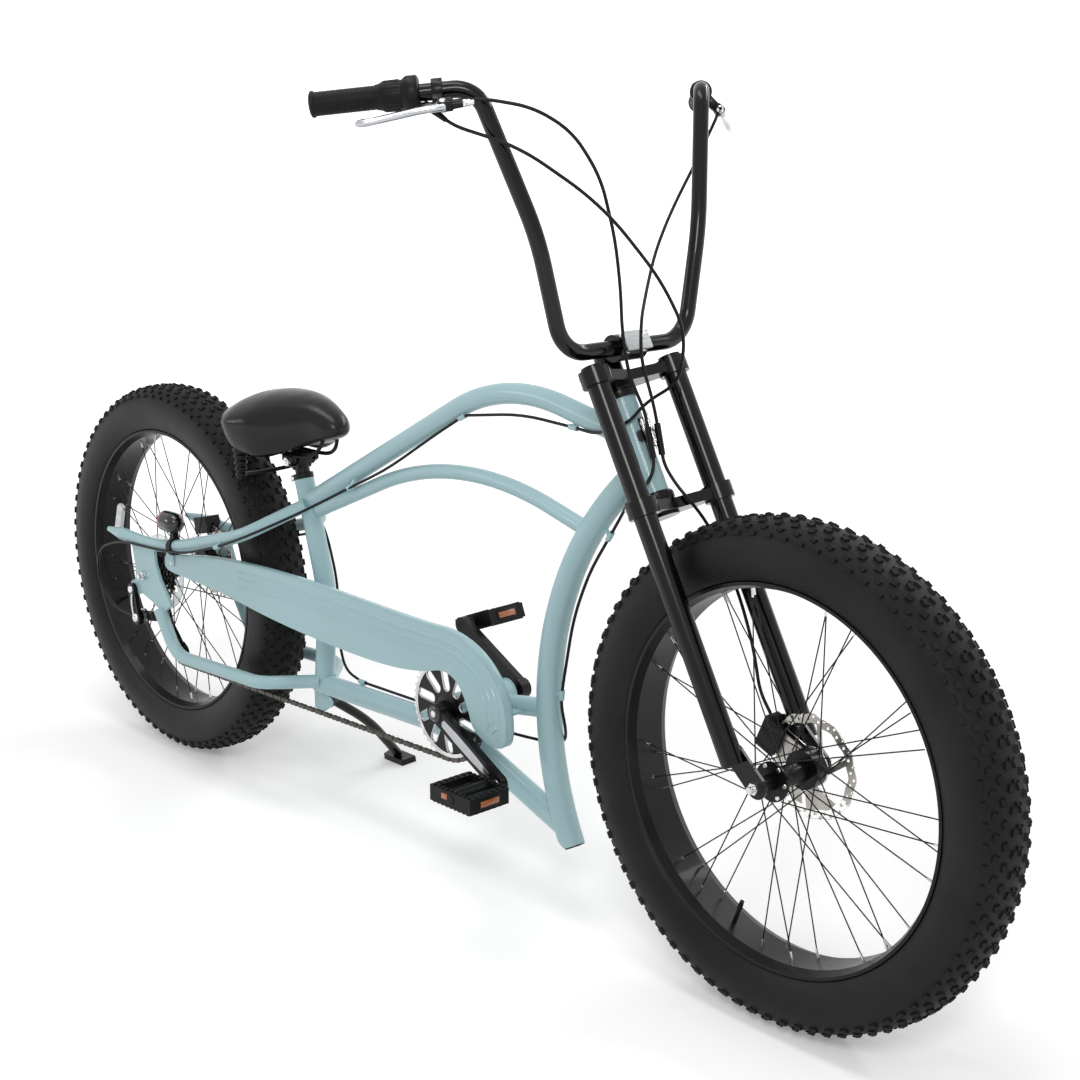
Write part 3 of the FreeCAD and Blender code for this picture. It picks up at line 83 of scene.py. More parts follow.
class Finish:
    # A node material with the shader's plain values set on its own sockets
    def __init__(self, name, base, **values):
        self.material = bpy.data.materials.new(name)
        self.material.use_nodes = True
        self.tree = self.material.node_tree
        self.shader = self.tree.nodes["Principled BSDF"]
        self.shader.inputs["Base Color"].default_value = base
        self.base = base
        for socket, value in values.items():
            self.shader.inputs[socket.replace("_", " ")].default_value = value
        self.height = None
        self.place = self.tree.nodes.new("ShaderNodeMapping")
        corner = self.tree.nodes.new("ShaderNodeTexCoord")
        self.link(corner.outputs["Object"], self.place.inputs["Vector"])

    def link(self, out, into):
        self.tree.links.new(out, into)

    def node(self, kind, **values):
        made = self.tree.nodes.new("ShaderNode" + kind)
        for name, value in values.items():
            if name in made.inputs:
                made.inputs[name].default_value = value
            else:
                setattr(made, name, value)
        return made

    def noise(self, scale, detail=3, stretch=(1, 1, 1)):
        made = self.node("TexNoise", Scale=scale, Detail=detail)
        turn = self.node("Mapping")
        turn.inputs["Scale"].default_value = stretch
        self.link(self.place.outputs[0], turn.inputs[0])
        self.link(turn.outputs[0], made.inputs["Vector"])
        return made.outputs["Fac"]

    # Base colour that goes from one to another as a value rises from start to stop
    def ramp(self, source, low, high, start=0.0, stop=1.0):
        made = self.node("ValToRGB")
        ends = made.color_ramp.elements
        ends[0].position, ends[0].color = start, low
        ends[1].position, ends[1].color = stop, high
        self.link(source, made.inputs[0])
        self.link(made.outputs[0], self.shader.inputs["Base Color"])
        return self

    # A value that goes from low to high as another rises from start to stop
    def spread(self, source, low, high, start=0.0, stop=1.0):
        made = self.node("MapRange", **{"From Min": start, "From Max": stop, "To Min": low, "To Max": high})
        self.link(source, made.inputs["Value"])
        return made.outputs[0]

    # Colour that wanders from the base by a share, in soft patches
    def mottle(self, scale, share):
        dark = tuple(c * (1 - share) for c in self.base[:3]) + (1,)
        light = tuple(min(1, c * (1 + share)) for c in self.base[:3]) + (1,)
        return self.ramp(self.noise(scale), dark, light, 0.3, 0.7)

    def roughen(self, scale, low, high, stretch=(1, 1, 1)):
        rough = self.spread(self.noise(scale, 4, stretch), low, high)
        self.link(rough, self.shader.inputs["Roughness"])
        return self

    def bump(self, source, depth, strength=1.0):
        made = self.node("Bump", Strength=strength, Distance=depth)
        self.link(source, made.inputs["Height"])
        if self.height:
            self.link(self.height, made.inputs["Normal"])
        self.height = made.outputs["Normal"]
        self.link(self.height, self.shader.inputs["Normal"])
        return self

    def grain(self, scale, depth, strength=1.0, stretch=(1, 1, 1)):
        return self.bump(self.noise(scale, 3, stretch), depth, strength)

    # Distance from a wheel's axle line, in metres
    def fromAxle(self, centre):
        shift = self.node("VectorMath", operation="SUBTRACT")
        shift.inputs[1].default_value = onBike @ centre
        self.link(self.place.outputs[0], shift.inputs[0])
        cross = self.node("VectorMath", operation="CROSS_PRODUCT")
        cross.inputs[1].default_value = leftWay
        self.link(shift.outputs[0], cross.inputs[0])
        length = self.node("VectorMath", operation="LENGTH")
        self.link(cross.outputs[0], length.inputs[0])
        return length.outputs["Value"]

    def math(self, operation, first, second=None):
        made = self.node("Math", operation=operation)
        self.link(first, made.inputs[0])
        if second is not None:
            made.inputs[1].default_value = second
        return made.outputs[0]


def paintFinish(name, base, rough, coat):
    made = Finish(name, base, Coat_Weight=coat, Coat_Roughness=0.06, Specular_IOR_Level=0.16)
    return made.mottle(6, 0.03).roughen(40, rough - 0.04, rough + 0.04).grain(900, 0.00012, 0.25)


def metalFinish(name, base, rough, stretch=(1, 1, 1)):
    made = Finish(name, base, Metallic=1.0)
    made.mottle(30, 0.12).roughen(120, rough - 0.07, rough + 0.09, stretch)
    return made.grain(1400, 0.00008, 0.3, stretch)


def rubberFinish(name, base, rough, scale=500):
    made = Finish(name, base, Specular_IOR_Level=0.18)
    return made.mottle(18, 0.25).roughen(60, rough - 0.07, rough + 0.07).grain(scale, 0.0003, 0.4)


# Rubber of a tyre: dull tread, smoother wall with fine rings round the axle
def tyreFinish(name, centre):
    made = Finish(name, colour(15, 15, 16), Specular_IOR_Level=0.18)
    away = made.fromAxle(centre)
    made.link(made.spread(away, 0.42, 0.62, 0.335, 0.36), made.shader.inputs["Roughness"])
    made.ramp(made.noise(14, 6), colour(11, 11, 12), colour(22, 22, 22), 0.35, 0.7)
    rings = made.math("SINE", made.math("MULTIPLY", away, 2400))
    return made.bump(rings, 0.00012, 0.5).grain(350, 0.0005, 0.35)


# Moulded reflector with rows of small prisms, its colour rising from the base to a painted glint towards each
# prism's edge
def prismFinish(name, base, glow):
    made = Finish(name, base, Roughness=0.12, Coat_Weight=0.8, Transmission_Weight=0.25, IOR=1.5)
    cells = made.node("TexVoronoi", Scale=330, feature="F1", distance="CHEBYCHEV")
    cells.inputs["Randomness"].default_value = 0.0
    made.link(made.place.outputs[0], cells.inputs["Vector"])
    made.bump(cells.outputs["Distance"], 0.0012, 0.8)
    # painted glint: each prism cell goes from the base colour to the brighter glow colour
    return made.ramp(cells.outputs["Distance"], base, glow, stop=0.7)


# Smooth black leatherette with a fine pebbled grain
def leatheretteFinish(name):
    made = Finish(name, colour(5, 5, 6), Specular_IOR_Level=0.3)
    made.mottle(9, 0.15).roughen(25, 0.22, 0.3)
    pebbles = made.node("TexVoronoi", Scale=900, feature="SMOOTH_F1")
    made.link(made.place.outputs[0], pebbles.inputs["Vector"])
    return made.bump(pebbles.outputs["Distance"], 0.00025, 0.35).grain(60, 0.0004, 0.2)


finishes = {
    "framePaint": paintFinish("framePaint", colour(159, 190, 195), 0.3, 0.3),
    "glossBlack": paintFinish("glossBlack", colour(5, 5, 6), 0.2, 0.22),
    "satinBlack": paintFinish("satinBlack", colour(9, 9, 10), 0.36, 0.1),
    "rimBlack": paintFinish("rimBlack", colour(13, 13, 14), 0.38, 0.1),
    "resinBlack": rubberFinish("resinBlack", colour(11, 11, 12), 0.42, 900),
    "gripRubber": rubberFinish("gripRubber", colour(13, 13, 14), 0.5),
    "housing": rubberFinish("housing", colour(14, 14, 15), 0.4, 1200),
    "rearTyreRubber": tyreFinish("rearTyreRubber", rearAxle),
    "frontTyreRubber": tyreFinish("frontTyreRubber", frontAxle),
    "brightSteel": metalFinish("brightSteel", colour(205, 205, 207), 0.25),
    "rotorSteel": metalFinish("rotorSteel", colour(178, 174, 168), 0.3),
    "polishedAluminium": metalFinish("polishedAluminium", colour(176, 178, 181), 0.2, (1, 6, 1)),
    "chainSteel": metalFinish("chainSteel", colour(84, 80, 76), 0.38),
    "cassetteSteel": metalFinish("cassetteSteel", colour(120, 118, 115), 0.35),
    "spokeBlack": paintFinish("spokeBlack", colour(10, 10, 11), 0.35, 0.1),
    "leatherette": leatheretteFinish("leatherette"),
    "clearPlastic": Finish("clearPlastic", colour(225, 230, 232), Roughness=0.12, Transmission_Weight=0.85,
                           IOR=1.35).roughen(80, 0.08, 0.2).grain(300, 0.0002, 0.3),
    "lensBlack": paintFinish("lensBlack", colour(10, 10, 11), 0.12, 1.0),
    # the second colour of each reflector is its painted glint
    "clearReflector": prismFinish("clearReflector", colour(185, 190, 192), colour(245, 248, 250)),
    "amberReflector": prismFinish("amberReflector", colour(128, 52, 14), colour(222, 122, 30)),
    "redReflector": prismFinish("redReflector", colour(120, 12, 12), colour(200, 40, 30)),
}
looks = {name: made.material for name, made in finishes.items()}
print("finishes made")


# Shop tools for the pieces, all in the bicycle's frame and millimetres
def addRod(bm, start, end, radius, tip=None, sides=20, caps=True):
    start, end = Vector(start), Vector(end)
    run = end - start
    spot = Matrix.Translation((start + end) / 2) @ run.to_track_quat("Z", "Y").to_matrix().to_4x4()
    bmesh.ops.create_cone(bm, cap_ends=caps, segments=sides, radius1=radius,
                          radius2=radius if tip is None else tip, depth=run.length, matrix=spot)


# Each item once, in the order that it first comes, so that every run builds alike
def inOrder(items):
    return list(dict.fromkeys(items))


def addBlock(bm, middle, size, turn=None, soft=0):
    spot = (Matrix.Translation(Vector(middle)) @ (turn or Matrix()).to_4x4()
            @ Matrix.Diagonal(Vector(size)).to_4x4())
    made = bmesh.ops.create_cube(bm, size=1, matrix=spot)
    if soft:
        edges = inOrder(edge for vert in made["verts"] for edge in vert.link_edges)
        bmesh.ops.bevel(bm, geom=edges, offset=soft, affect="EDGES", segments=2, profile=0.5, material=-1,
                        clamp_overlap=True)


# A line of (radius, along) turned right round an axis
def addTurned(bm, centre, axis, line, steps=48, closed=False):
    axis = Vector(axis).normalized()
    out = axis.orthogonal().normalized()
    verts = [bm.verts.new(Vector(centre) + out * radius + axis * along) for radius, along in line]
    edges = [bm.edges.new(pair) for pair in zip(verts, verts[1:] + (verts[:1] if closed else []))
             if pair[0] is not pair[1]]
    bmesh.ops.spin(bm, geom=verts + edges, cent=centre, axis=axis, angle=math.tau, steps=steps,
                   use_merge=True, use_duplicate=False)


# The points of a shape that came after the first so many
def vertsAfter(bm, known):
    bm.verts.ensure_lookup_table()
    return bm.verts[known:]


def stamp(bm, template, spot):
    known = len(bm.verts)
    bm.from_mesh(template)
    bmesh.ops.transform(bm, matrix=spot, verts=vertsAfter(bm, known))


def asMesh(bm, name):
    mesh = bpy.data.meshes.new(name)
    bm.to_mesh(mesh)
    bm.free()
    return mesh


# A new mesh of what an object's curve or modifiers make
def madeMesh(holder):
    bpy.context.view_layer.update()
    return bpy.data.meshes.new_from_object(holder.evaluated_get(bpy.context.evaluated_depsgraph_get()))


def stampCurve(bm, curve, spot):
    holder = bpy.data.objects.new(curve.name, curve)
    bpy.context.scene.collection.objects.link(holder)
    mesh = madeMesh(holder)
    bpy.data.objects.remove(holder)
    stamp(bm, mesh, spot)
    bpy.data.meshes.remove(mesh)


# Flat sheet cut to closed loops, standing in the plane of the wheels, with its thickness across
def addSheet(bm, centre, loops, thickness, edge=0.2, spot=None):
    outline = bpy.data.curves.new("sheetOutline", "CURVE")
    outline.dimensions, outline.fill_mode = "2D", "BOTH"
    outline.extrude, outline.bevel_depth, outline.bevel_resolution = thickness / 2 - edge, edge, 0
    outline.offset = -edge
    for loop in loops:
        spline = outline.splines.new("POLY")
        spline.points.add(len(loop) - 1)
        for point, (x, z) in zip(spline.points, loop):
            point.co = (x, z, 0, 1)
        spline.use_cyclic_u = True
    stampCurve(bm, outline, spot or Matrix.Translation(Vector(centre)) @ Matrix.Rotation(math.pi / 2, 4, "X"))


# Round bar along a smooth line through its control points
def addBar(bm, points, radius):
    line = bpy.data.curves.new("barLine", "CURVE")
    line.dimensions, line.bevel_depth, line.bevel_resolution, line.use_fill_caps = "3D", radius, 2, True
    spline = line.splines.new("NURBS")
    spline.points.add(len(points) - 1)
    for point, place in zip(spline.points, points):
        point.co = (*place, 1)
    spline.order_u, spline.use_endpoint_u, spline.resolution_u = 3, True, 5
    stampCurve(bm, line, Matrix())


def ringLoop(radius, sides, wave=0, waves=0, start=0.0):
    loop = []
    for i in range(sides):
        angle = start + math.tau * i / sides
        reach = radius + wave * math.cos(waves * angle)
        loop.append((reach * math.cos(angle), reach * math.sin(angle)))
    return loop


def holeLoops(radius, holes, size, start=0.0, sides=10):
    loops = []
    for i in range(holes):
        angle = start + math.tau * i / holes
        middle = (radius * math.cos(angle), radius * math.sin(angle))
        loops.append([(middle[0] + x, middle[1] + z) for x, z in ringLoop(size, sides)])
    return loops


# Points on an arc, from its first angle through its sweep
def arcLoop(x, z, radius, first, sweep, steps):
    angles = [first + sweep * k / steps for k in range(steps + 1)]
    return [(x + radius * math.cos(a), z + radius * math.sin(a)) for a in angles]


def toothLoop(teeth, root, tip):
    loop = []
    for i in range(teeth):
        for share, reach in ((-0.34, root), (-0.13, tip), (0.13, tip), (0.34, root)):
            angle = math.tau * (i + share) / teeth
            loop.append((reach * math.cos(angle), reach * math.sin(angle)))
    return loop


chainPitch = 12.7


def pitchRadius(teeth):
    return chainPitch / (2 * math.sin(math.pi / teeth))


# Puts a finished shape on a body of the bicycle, smooth but for its sharp edges
def fit(bm, name, body, look, replaces=(), angle=32):
    bmesh.ops.remove_doubles(bm, verts=bm.verts, dist=0.01)
    bmesh.ops.recalc_face_normals(bm, faces=bm.faces)
    bmesh.ops.transform(bm, matrix=onBike, verts=bm.verts)
    mesh = asMesh(bm, name)
    mesh.shade_smooth()
    mesh.set_sharp_from_angle(angle=math.radians(angle))
    piece = bpy.data.objects.new(name, mesh)
    bpy.context.scene.collection.objects.link(piece)
    mesh.materials.append(looks[look])
    if body:
        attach(piece, body)
    if replaces:
        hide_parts(*replaces)


# Camera, floor and light
cameraPlace = {"place": (3081.4, -1891.4, 1306.0), "yaw": 47.03, "down": 13.89, "lens": 60.61}
yaw, down = math.radians(cameraPlace["yaw"]), math.radians(cameraPlace["down"])
looking = Vector((-math.sin(yaw) * math.cos(down), math.cos(yaw) * math.cos(down), -math.sin(down)))
sideways = Vector((math.cos(yaw), math.sin(yaw), 0))
axes = Matrix((sideways, sideways.cross(looking), -looking)).transposed().to_4x4()
cameraData = bpy.data.cameras.new("photoCamera")
cameraData.lens, cameraData.sensor_width = cameraPlace["lens"], 36
cameraData.clip_start, cameraData.clip_end = 0.05, 100
camera = bpy.data.objects.new("photoCamera", cameraData)
bpy.context.scene.collection.objects.link(camera)
camera.matrix_world = Matrix.Translation(onBike @ Vector(cameraPlace["place"])) @ turned @ axes
bpy.context.scene.camera = camera
bpy.context.scene.view_settings.view_transform = "Standard"

lamps = {
    "keySoftbox": {"place": (3.2, -2.6, 3.6), "size": (1.3, 1.1), "watts": 62},
    "fillSoftbox": {"place": (-2.8, -3.2, 2.2), "size": (1.6, 0.8), "watts": 22},
    "backStrip": {"place": (0.6, 3.6, 2.6), "size": (3.2, 0.4), "watts": 44},
    "topSoftbox": {"place": (0.0, -0.2, 4.4), "size": (3.0, 1.0), "watts": 46},
}
for name, lamp in lamps.items():
    light = bpy.data.lights.new(name, "AREA")
    light.shape, light.size, light.size_y = "RECTANGLE", *lamp["size"]
    light.energy = lamp["watts"]
    holder = bpy.data.objects.new(name, light)
    holder.location = lamp["place"]
    holder.rotation_mode = "QUATERNION"
    holder.rotation_quaternion = (Vector((0, 0, 0.5)) - holder.location).to_track_quat("-Z", "Y")
    bpy.context.scene.collection.objects.link(holder)


# 1 where the camera looks straight, by a mirror or through glass, and 0 for the light itself
def seenShare(tree):
    path, total = tree.nodes.new("ShaderNodeLightPath"), None
    for ray in ("Is Camera Ray", "Is Glossy Ray", "Is Transmission Ray"):
        if total is None:
            total = path.outputs[ray]
            continue
        most = tree.nodes.new("ShaderNodeMath")
        most.operation = "MAXIMUM"
        tree.links.new(total, most.inputs[0])
        tree.links.new(path.outputs[ray], most.inputs[1])
        total = most.outputs[0]
    return total


# The world lights softly and is seen as white
world = bpy.data.worlds.new("studio")
bpy.context.scene.world = world
world.use_nodes = True
sky = world.node_tree
soft, white = sky.nodes["Background"], sky.nodes.new("ShaderNodeBackground")
mixed = sky.nodes.new("ShaderNodeMixShader")
for shade, strength in ((soft, 0.5), (white, 1.0)):
    shade.inputs["Color"].default_value = (1, 1, 1, 1)
    shade.inputs["Strength"].default_value = strength
sky.links.new(seenShare(sky), mixed.inputs[0])
sky.links.new(soft.outputs[0], mixed.inputs[1])
sky.links.new(white.outputs[0], mixed.inputs[2])
sky.links.new(mixed.outputs[0], sky.nodes["World Output"].inputs["Surface"])

# Paper floor: it takes the shadow, and a glow that only sight meets lifts it to white
floorShape = bmesh.new()
bmesh.ops.create_circle(floorShape, cap_ends=True, segments=96, radius=30)
floorMesh = asMesh(floorShape, "studioFloor")
floor = bpy.data.objects.new("studioFloor", floorMesh)
bpy.context.scene.collection.objects.link(floor)
paper = Finish("floorPaper", (0.93, 0.93, 0.93, 1), Roughness=0.9, Specular_IOR_Level=0.1)
paper.mottle(3, 0.01)
glow, both, split = paper.node("Emission"), paper.node("AddShader"), paper.node("MixShader")
distance = paper.node("VectorMath", operation="LENGTH")
paper.link(paper.place.outputs[0], distance.inputs[0])
paper.link(paper.spread(distance.outputs["Value"], 0.2, 1.0, 1.2, 4.5), glow.inputs["Strength"])
paper.link(paper.shader.outputs[0], both.inputs[0])
paper.link(glow.outputs[0], both.inputs[1])
paper.link(seenShare(paper.tree), split.inputs[0])
paper.link(paper.shader.outputs[0], split.inputs[1])
paper.link(both.outputs[0], split.inputs[2])
paper.link(split.outputs[0], paper.tree.nodes["Material Output"].inputs["Surface"])
floorMesh.materials.append(paper.material)
print("camera, floor and light set")

# Looks of the CAD nodes
nodeLooks = {
    "framePaint": ["head_tube", "top_tube", "mid_tube", "down_tube", "bottom_tube", "cross_tube", "seat_tube",
                   "bottom_bracket", "seat_stay_right", "seat_stay_left", "chain_stay_right",
                   "chain_stay_left", "dropouts", "chain_guard", "guard_brackets", "stand_bracket",
                   "cable_guides"],
    "glossBlack": ["headset_cups", "steerer", "fork_clamps", "fork_leg_right", "fork_leg_left", "stem",
                   "handlebar", "seat_post", "kickstand"],
    "satinBlack": ["front_caliper", "rear_caliper", "rear_derailleur", "saddle_frame", "rear_hub",
                   "front_hub", "crank_left", "crank_right", "crank_spindle"],
    "rimBlack": ["rear_rim", "front_rim"],
    "resinBlack": ["twist_shifter", "rear_lamp", "pedal_right", "pedal_left"],
    "gripRubber": ["grips"],
    "housing": ["frame_cables", "front_brake_cable", "bar_cables"],
    "rearTyreRubber": ["rear_tyre"],
    "frontTyreRubber": ["front_tyre"],
    "spokeBlack": ["rear_spokes", "front_spokes"],
    "brightSteel": ["rear_axle", "front_axle"],
    "rotorSteel": ["rear_rotor", "front_rotor"],
    "chainSteel": ["chain", "chainring"],
    "cassetteSteel": ["cassette"],
    "polishedAluminium": ["brake_levers"],
    "leatherette": ["saddle"],
    "clearReflector": ["front_reflector"],
}
for look, names in nodeLooks.items():
    for name in names:
        nodes[name].data.materials.clear()
        nodes[name].data.materials.append(looks[look])

# Tyres
tyre = {
    "wall": [(283.4, 38), (285, 41), (290, 44), (296, 46.6), (303, 49), (311, 50.8), (320, 51.8), (330, 51.8),
             (339, 50.6), (347, 48.6), (353, 45.5), (358.5, 40), (362.5, 32), (365.6, 22), (367.4, 11),
             (368, 0)],
    "blocks": 80,
    # radius and side of each row's middle, length round, width, height, turn, and shift along the pitch
    "rows": [(366.5, 8, 13, 10, 5.6, 18, 0.0), (364.5, 23, 12, 10, 5.6, -14, 0.5),
             (359.5, 36, 12, 9, 6, 20, 0.0), (351.5, 45.6, 14, 8, 5, 0, 0.5), (366.9, 0, 5, 5, 5, 0, 0.75)],
}


def addTread(bm, centre):
    for radius, side, length, width, height, turn, shift in tyre["rows"]:
        for hand in ((1, -1) if side else (1,)):
            slope = math.atan2(side, max(radius - 330, 1)) * hand
            known = len(bm.verts)
            block = Matrix.Diagonal((length, width, height + 3, 1))
            block = Matrix.Rotation(math.radians(turn * hand), 4, "Z") @ block
            bmesh.ops.create_cube(bm, size=1, matrix=block)
            verts = vertsAfter(bm, known)
            top = [v for v in verts if v.co.z > 0]
            bmesh.ops.scale(bm, vec=(0.78, 0.74, 1), verts=top)
            foot = [f for f in inOrder(f for v in verts for f in v.link_faces) if f.normal.z < -0.9]
            bmesh.ops.delete(bm, geom=foot, context="FACES_ONLY")
            verts = vertsAfter(bm, known)
            # the block stands out of the tread: its top up the wheel, its length round it
            stand = (Matrix.Rotation(math.tau * shift * hand / tyre["blocks"], 4, "Y")
                     @ Matrix.Translation((0, side * hand, radius)) @ Matrix.Rotation(-slope, 4, "X"))
            bmesh.ops.transform(bm, matrix=Matrix.Translation(centre) @ stand, verts=verts)
            around = inOrder(e for v in verts for e in v.link_edges)
            around += inOrder(f for v in verts for f in v.link_faces)
            bmesh.ops.spin(bm, geom=verts + around, cent=centre, axis=across, use_duplicate=True,
                           angle=math.tau * (1 - 1 / tyre["blocks"]), steps=tyre["blocks"] - 1)


for end, centre in (("rear", rearAxle), ("front", frontAxle)):
    bm = bmesh.new()
    half = tyre["wall"]
    wholeWall = [(r, -w) for r, w in half] + [(r, w) for r, w in half[-2::-1]]
    addTurned(bm, centre, across, wholeWall, 144, closed=True)
    fit(bm, end + "TyreCarcass", end + "_wheel", end + "TyreRubber", [end + "_tyre"])
    bm = bmesh.new()
    addTread(bm, centre)
    fit(bm, end + "TyreTread", end + "_wheel", end + "TyreRubber")
print("tyres made")

# Wheels: nipples, valve, rotor, bolts
wheels = {
    "rear": {"centre": rearAxle, "flanges": (-40.0, 43.0), "rotor": 66.0, "body": "rear_wheel"},
    "front": {"centre": frontAxle, "flanges": (-38.0, 28.0), "rotor": 49.0, "body": "front_wheel"},
}
spoke = {"perFlange": 18, "hub": 30.2, "rim": 271.8, "row": 14, "cross": 56, "nipple": 15,
         "nippleRadius": 2.3}
rotor = {
    "outer": 79, "wave": 1.6, "waves": 12, "bore": 21, "thick": 1.9, "arms": 6, "lean": 0.35,
    # windows between the arms: radius of their outer and inner edges, and the outer edge's wave
    "windowOuter": 64, "windowInner": 30, "windowWave": 1.5,
    # radius and start of each row of small holes
    "holes": 24, "holeRadius": 2.3, "holeRows": ((75, 0.0), (69.5, math.tau / 48)),
    "boltCircle": 24.5, "bolts": 6,
}
hubBolt = {"circle": 24, "count": 6, "out": 2, "height": 1.4}
valveStem = {"foot": 271, "degrees": {"rear": 205, "front": 250}}


def wheelPoint(centre, radius, degrees, left):
    angle = math.radians(degrees)
    return centre + Vector((radius * math.cos(angle), left, radius * math.sin(angle)))


for end, wheel in wheels.items():
    centre = wheel["centre"]
    nipples = bmesh.new()
    step = 360 / spoke["perFlange"]
    right, left = wheel["flanges"]
    for flange, row, first in ((right, -spoke["row"], 0), (left, spoke["row"], step / 4)):
        for i in range(spoke["perFlange"]):
            lean = 1 if i % 2 else -1
            inner = wheelPoint(centre, spoke["hub"], first + i * step, flange + lean * 2.5)
            outer = wheelPoint(centre, spoke["rim"], first + i * step + lean * spoke["cross"], row)
            along = (inner - outer).normalized()
            addRod(nipples, outer, outer + along * spoke["nipple"], spoke["nippleRadius"], 1.7, sides=8)
    fit(nipples, end + "SpokeNipples", wheel["body"], "brightSteel")

    # disc: wavy rim with staggered holes, slanted arms
    disc = bmesh.new()
    loops = [ringLoop(rotor["outer"] - rotor["wave"], 144, rotor["wave"], rotor["waves"])]
    for radius, start in rotor["holeRows"]:
        loops += holeLoops(radius, rotor["holes"], rotor["holeRadius"], start)
    share = math.tau / rotor["arms"]
    for i in range(rotor["arms"]):
        window = []
        for k in range(11):
            angle = i * share + share * (0.07 + 0.86 * k / 10) + rotor["lean"]
            reach = rotor["windowOuter"] + rotor["windowWave"] * math.cos(rotor["waves"] * angle)
            window.append((reach * math.cos(angle), reach * math.sin(angle)))
        for k in range(7):
            angle = i * share + share * (0.84 - 0.68 * k / 6)
            window.append((rotor["windowInner"] * math.cos(angle), rotor["windowInner"] * math.sin(angle)))
        loops.append(window)
    loops.append(ringLoop(rotor["bore"], 40))
    addSheet(disc, centre + across * wheel["rotor"], loops, rotor["thick"])
    fit(disc, end + "DiscRotor", wheel["body"], "rotorSteel", [end + "_rotor"])
    bolts = bmesh.new()
    for i in range(rotor["bolts"]):
        middle = wheelPoint(centre, rotor["boltCircle"], 30 + 60 * i, wheel["rotor"])
        addRod(bolts, middle, middle + across * 3.2, 4.2, 3.4, sides=12)
    for i in range(hubBolt["count"]):
        middle = wheelPoint(centre, hubBolt["circle"], 60 * i, right - hubBolt["out"])
        addRod(bolts, middle, middle - across * hubBolt["height"], 3.6, 2.8, sides=10)
    fit(bolts, end + "HubBolts", wheel["body"], "brightSteel")
    valve = bmesh.new()
    foot = wheelPoint(centre, valveStem["foot"], valveStem["degrees"][end], 0)
    reach = (centre - foot).normalized()
    addRod(valve, foot, foot + reach * 26, 3.4, 3.1, sides=12)
    addRod(valve, foot + reach * 24, foot + reach * 38, 4.2, 3.2, sides=12)
    fit(valve, end + "WheelValve", wheel["body"], "gripRubber")
print("wheels dressed")

# Chain and sprockets
drive = {"ring": 42, "sprocket": 20, "pulley": 11, "guide": (32, 292), "tension": (92, 231)}
side = -bike["chainSide"]


# Straight runs and arcs of the chain's line, as points a pitch apart
def chainLine():
    # ahead, up, radius, and the hand on which the chain goes round
    rows = [(bracket.x, bracket.z, pitchRadius(drive["ring"]), 1),
            (0, rearAxle.z, pitchRadius(drive["sprocket"]), 1),
            (*drive["guide"], pitchRadius(drive["pulley"]), -1),
            (*drive["tension"], pitchRadius(drive["pulley"]), 1)]
    dense = []
    ends = []
    for one, two in zip(rows, rows[1:] + rows[:1]):
        apart = math.hypot(two[0] - one[0], two[1] - one[1])
        heading = math.atan2(two[1] - one[1], two[0] - one[0])
        heading += math.asin((one[2] * one[3] - two[2] * two[3]) / apart)
        aside = (math.sin(heading), -math.cos(heading))
        ends.append([Vector((x + radius * hand * aside[0], side, z + radius * hand * aside[1]))
                     for x, z, radius, hand in (one, two)])
    for i, (x, z, radius, hand) in enumerate(rows):
        arrive, leave = ends[i - 1][1], ends[i][0]
        centre = Vector((x, side, z))
        before = ends[i - 1][0]
        start = math.atan2(arrive.z - z, arrive.x - x)
        stop = math.atan2(leave.z - z, leave.x - x)
        tangent = Vector((-math.sin(start), 0, math.cos(start)))
        onward = (arrive - before).dot(tangent) > 0
        swing = (stop - start) % math.tau if onward else -((start - stop) % math.tau)
        for k in range(60):
            angle = start + swing * k / 59
            dense.append(centre + Vector((math.cos(angle), 0, math.sin(angle))) * radius)
    dense.append(dense[0])
    lengths = [0]
    for one, two in zip(dense, dense[1:]):
        lengths.append(lengths[-1] + (two - one).length)
    count = 2 * round(lengths[-1] / (2 * chainPitch))
    points, k = [], 0
    for i in range(count):
        goal = lengths[-1] * i / count
        while lengths[k + 1] < goal:
            k += 1
        points.append(dense[k].lerp(dense[k + 1], (goal - lengths[k]) / (lengths[k + 1] - lengths[k])))
    return points


link = {"half": chainPitch / 2, "end": 4.1, "waist": 2.9, "thick": 1.1, "outerPlate": 2.9, "innerPlate": 1.75}
pins = chainLine()
plate = bmesh.new()
plateLoop = (arcLoop(-link["half"], 0, link["end"], math.pi / 2, math.pi, 4) + [(0, -link["waist"])]
             + arcLoop(link["half"], 0, link["end"], -math.pi / 2, math.pi, 4) + [(0, link["waist"])])
addSheet(plate, (0, 0, 0), [plateLoop], link["thick"], 0.15)
plateMesh = asMesh(plate, "chainPlate")
roller = bmesh.new()
addRod(roller, (0, -3.4, 0), (0, 3.4, 0), 2.1, sides=8)
addRod(roller, (0, -2.0, 0), (0, 2.0, 0), 3.8, sides=8, caps=False)
rollerMesh = asMesh(roller, "chainRoller")
bm = bmesh.new()
for i, pin in enumerate(pins):
    after = pins[(i + 1) % len(pins)]
    run = after - pin
    spot = Matrix.Translation((pin + after) / 2) @ Matrix.Rotation(-math.atan2(run.z, run.x), 4, "Y")
    gap = link["outerPlate"] if i % 2 else link["innerPlate"]
    for hand in (-1, 1):
        stamp(bm, plateMesh, spot @ Matrix.Translation((0, hand * gap, 0)))
    stamp(bm, rollerMesh, Matrix.Translation(pin))
fit(bm, "chainLinks", "frame", "chainSteel", ["chain"], angle=40)
print("chain made,", len(pins), "links")

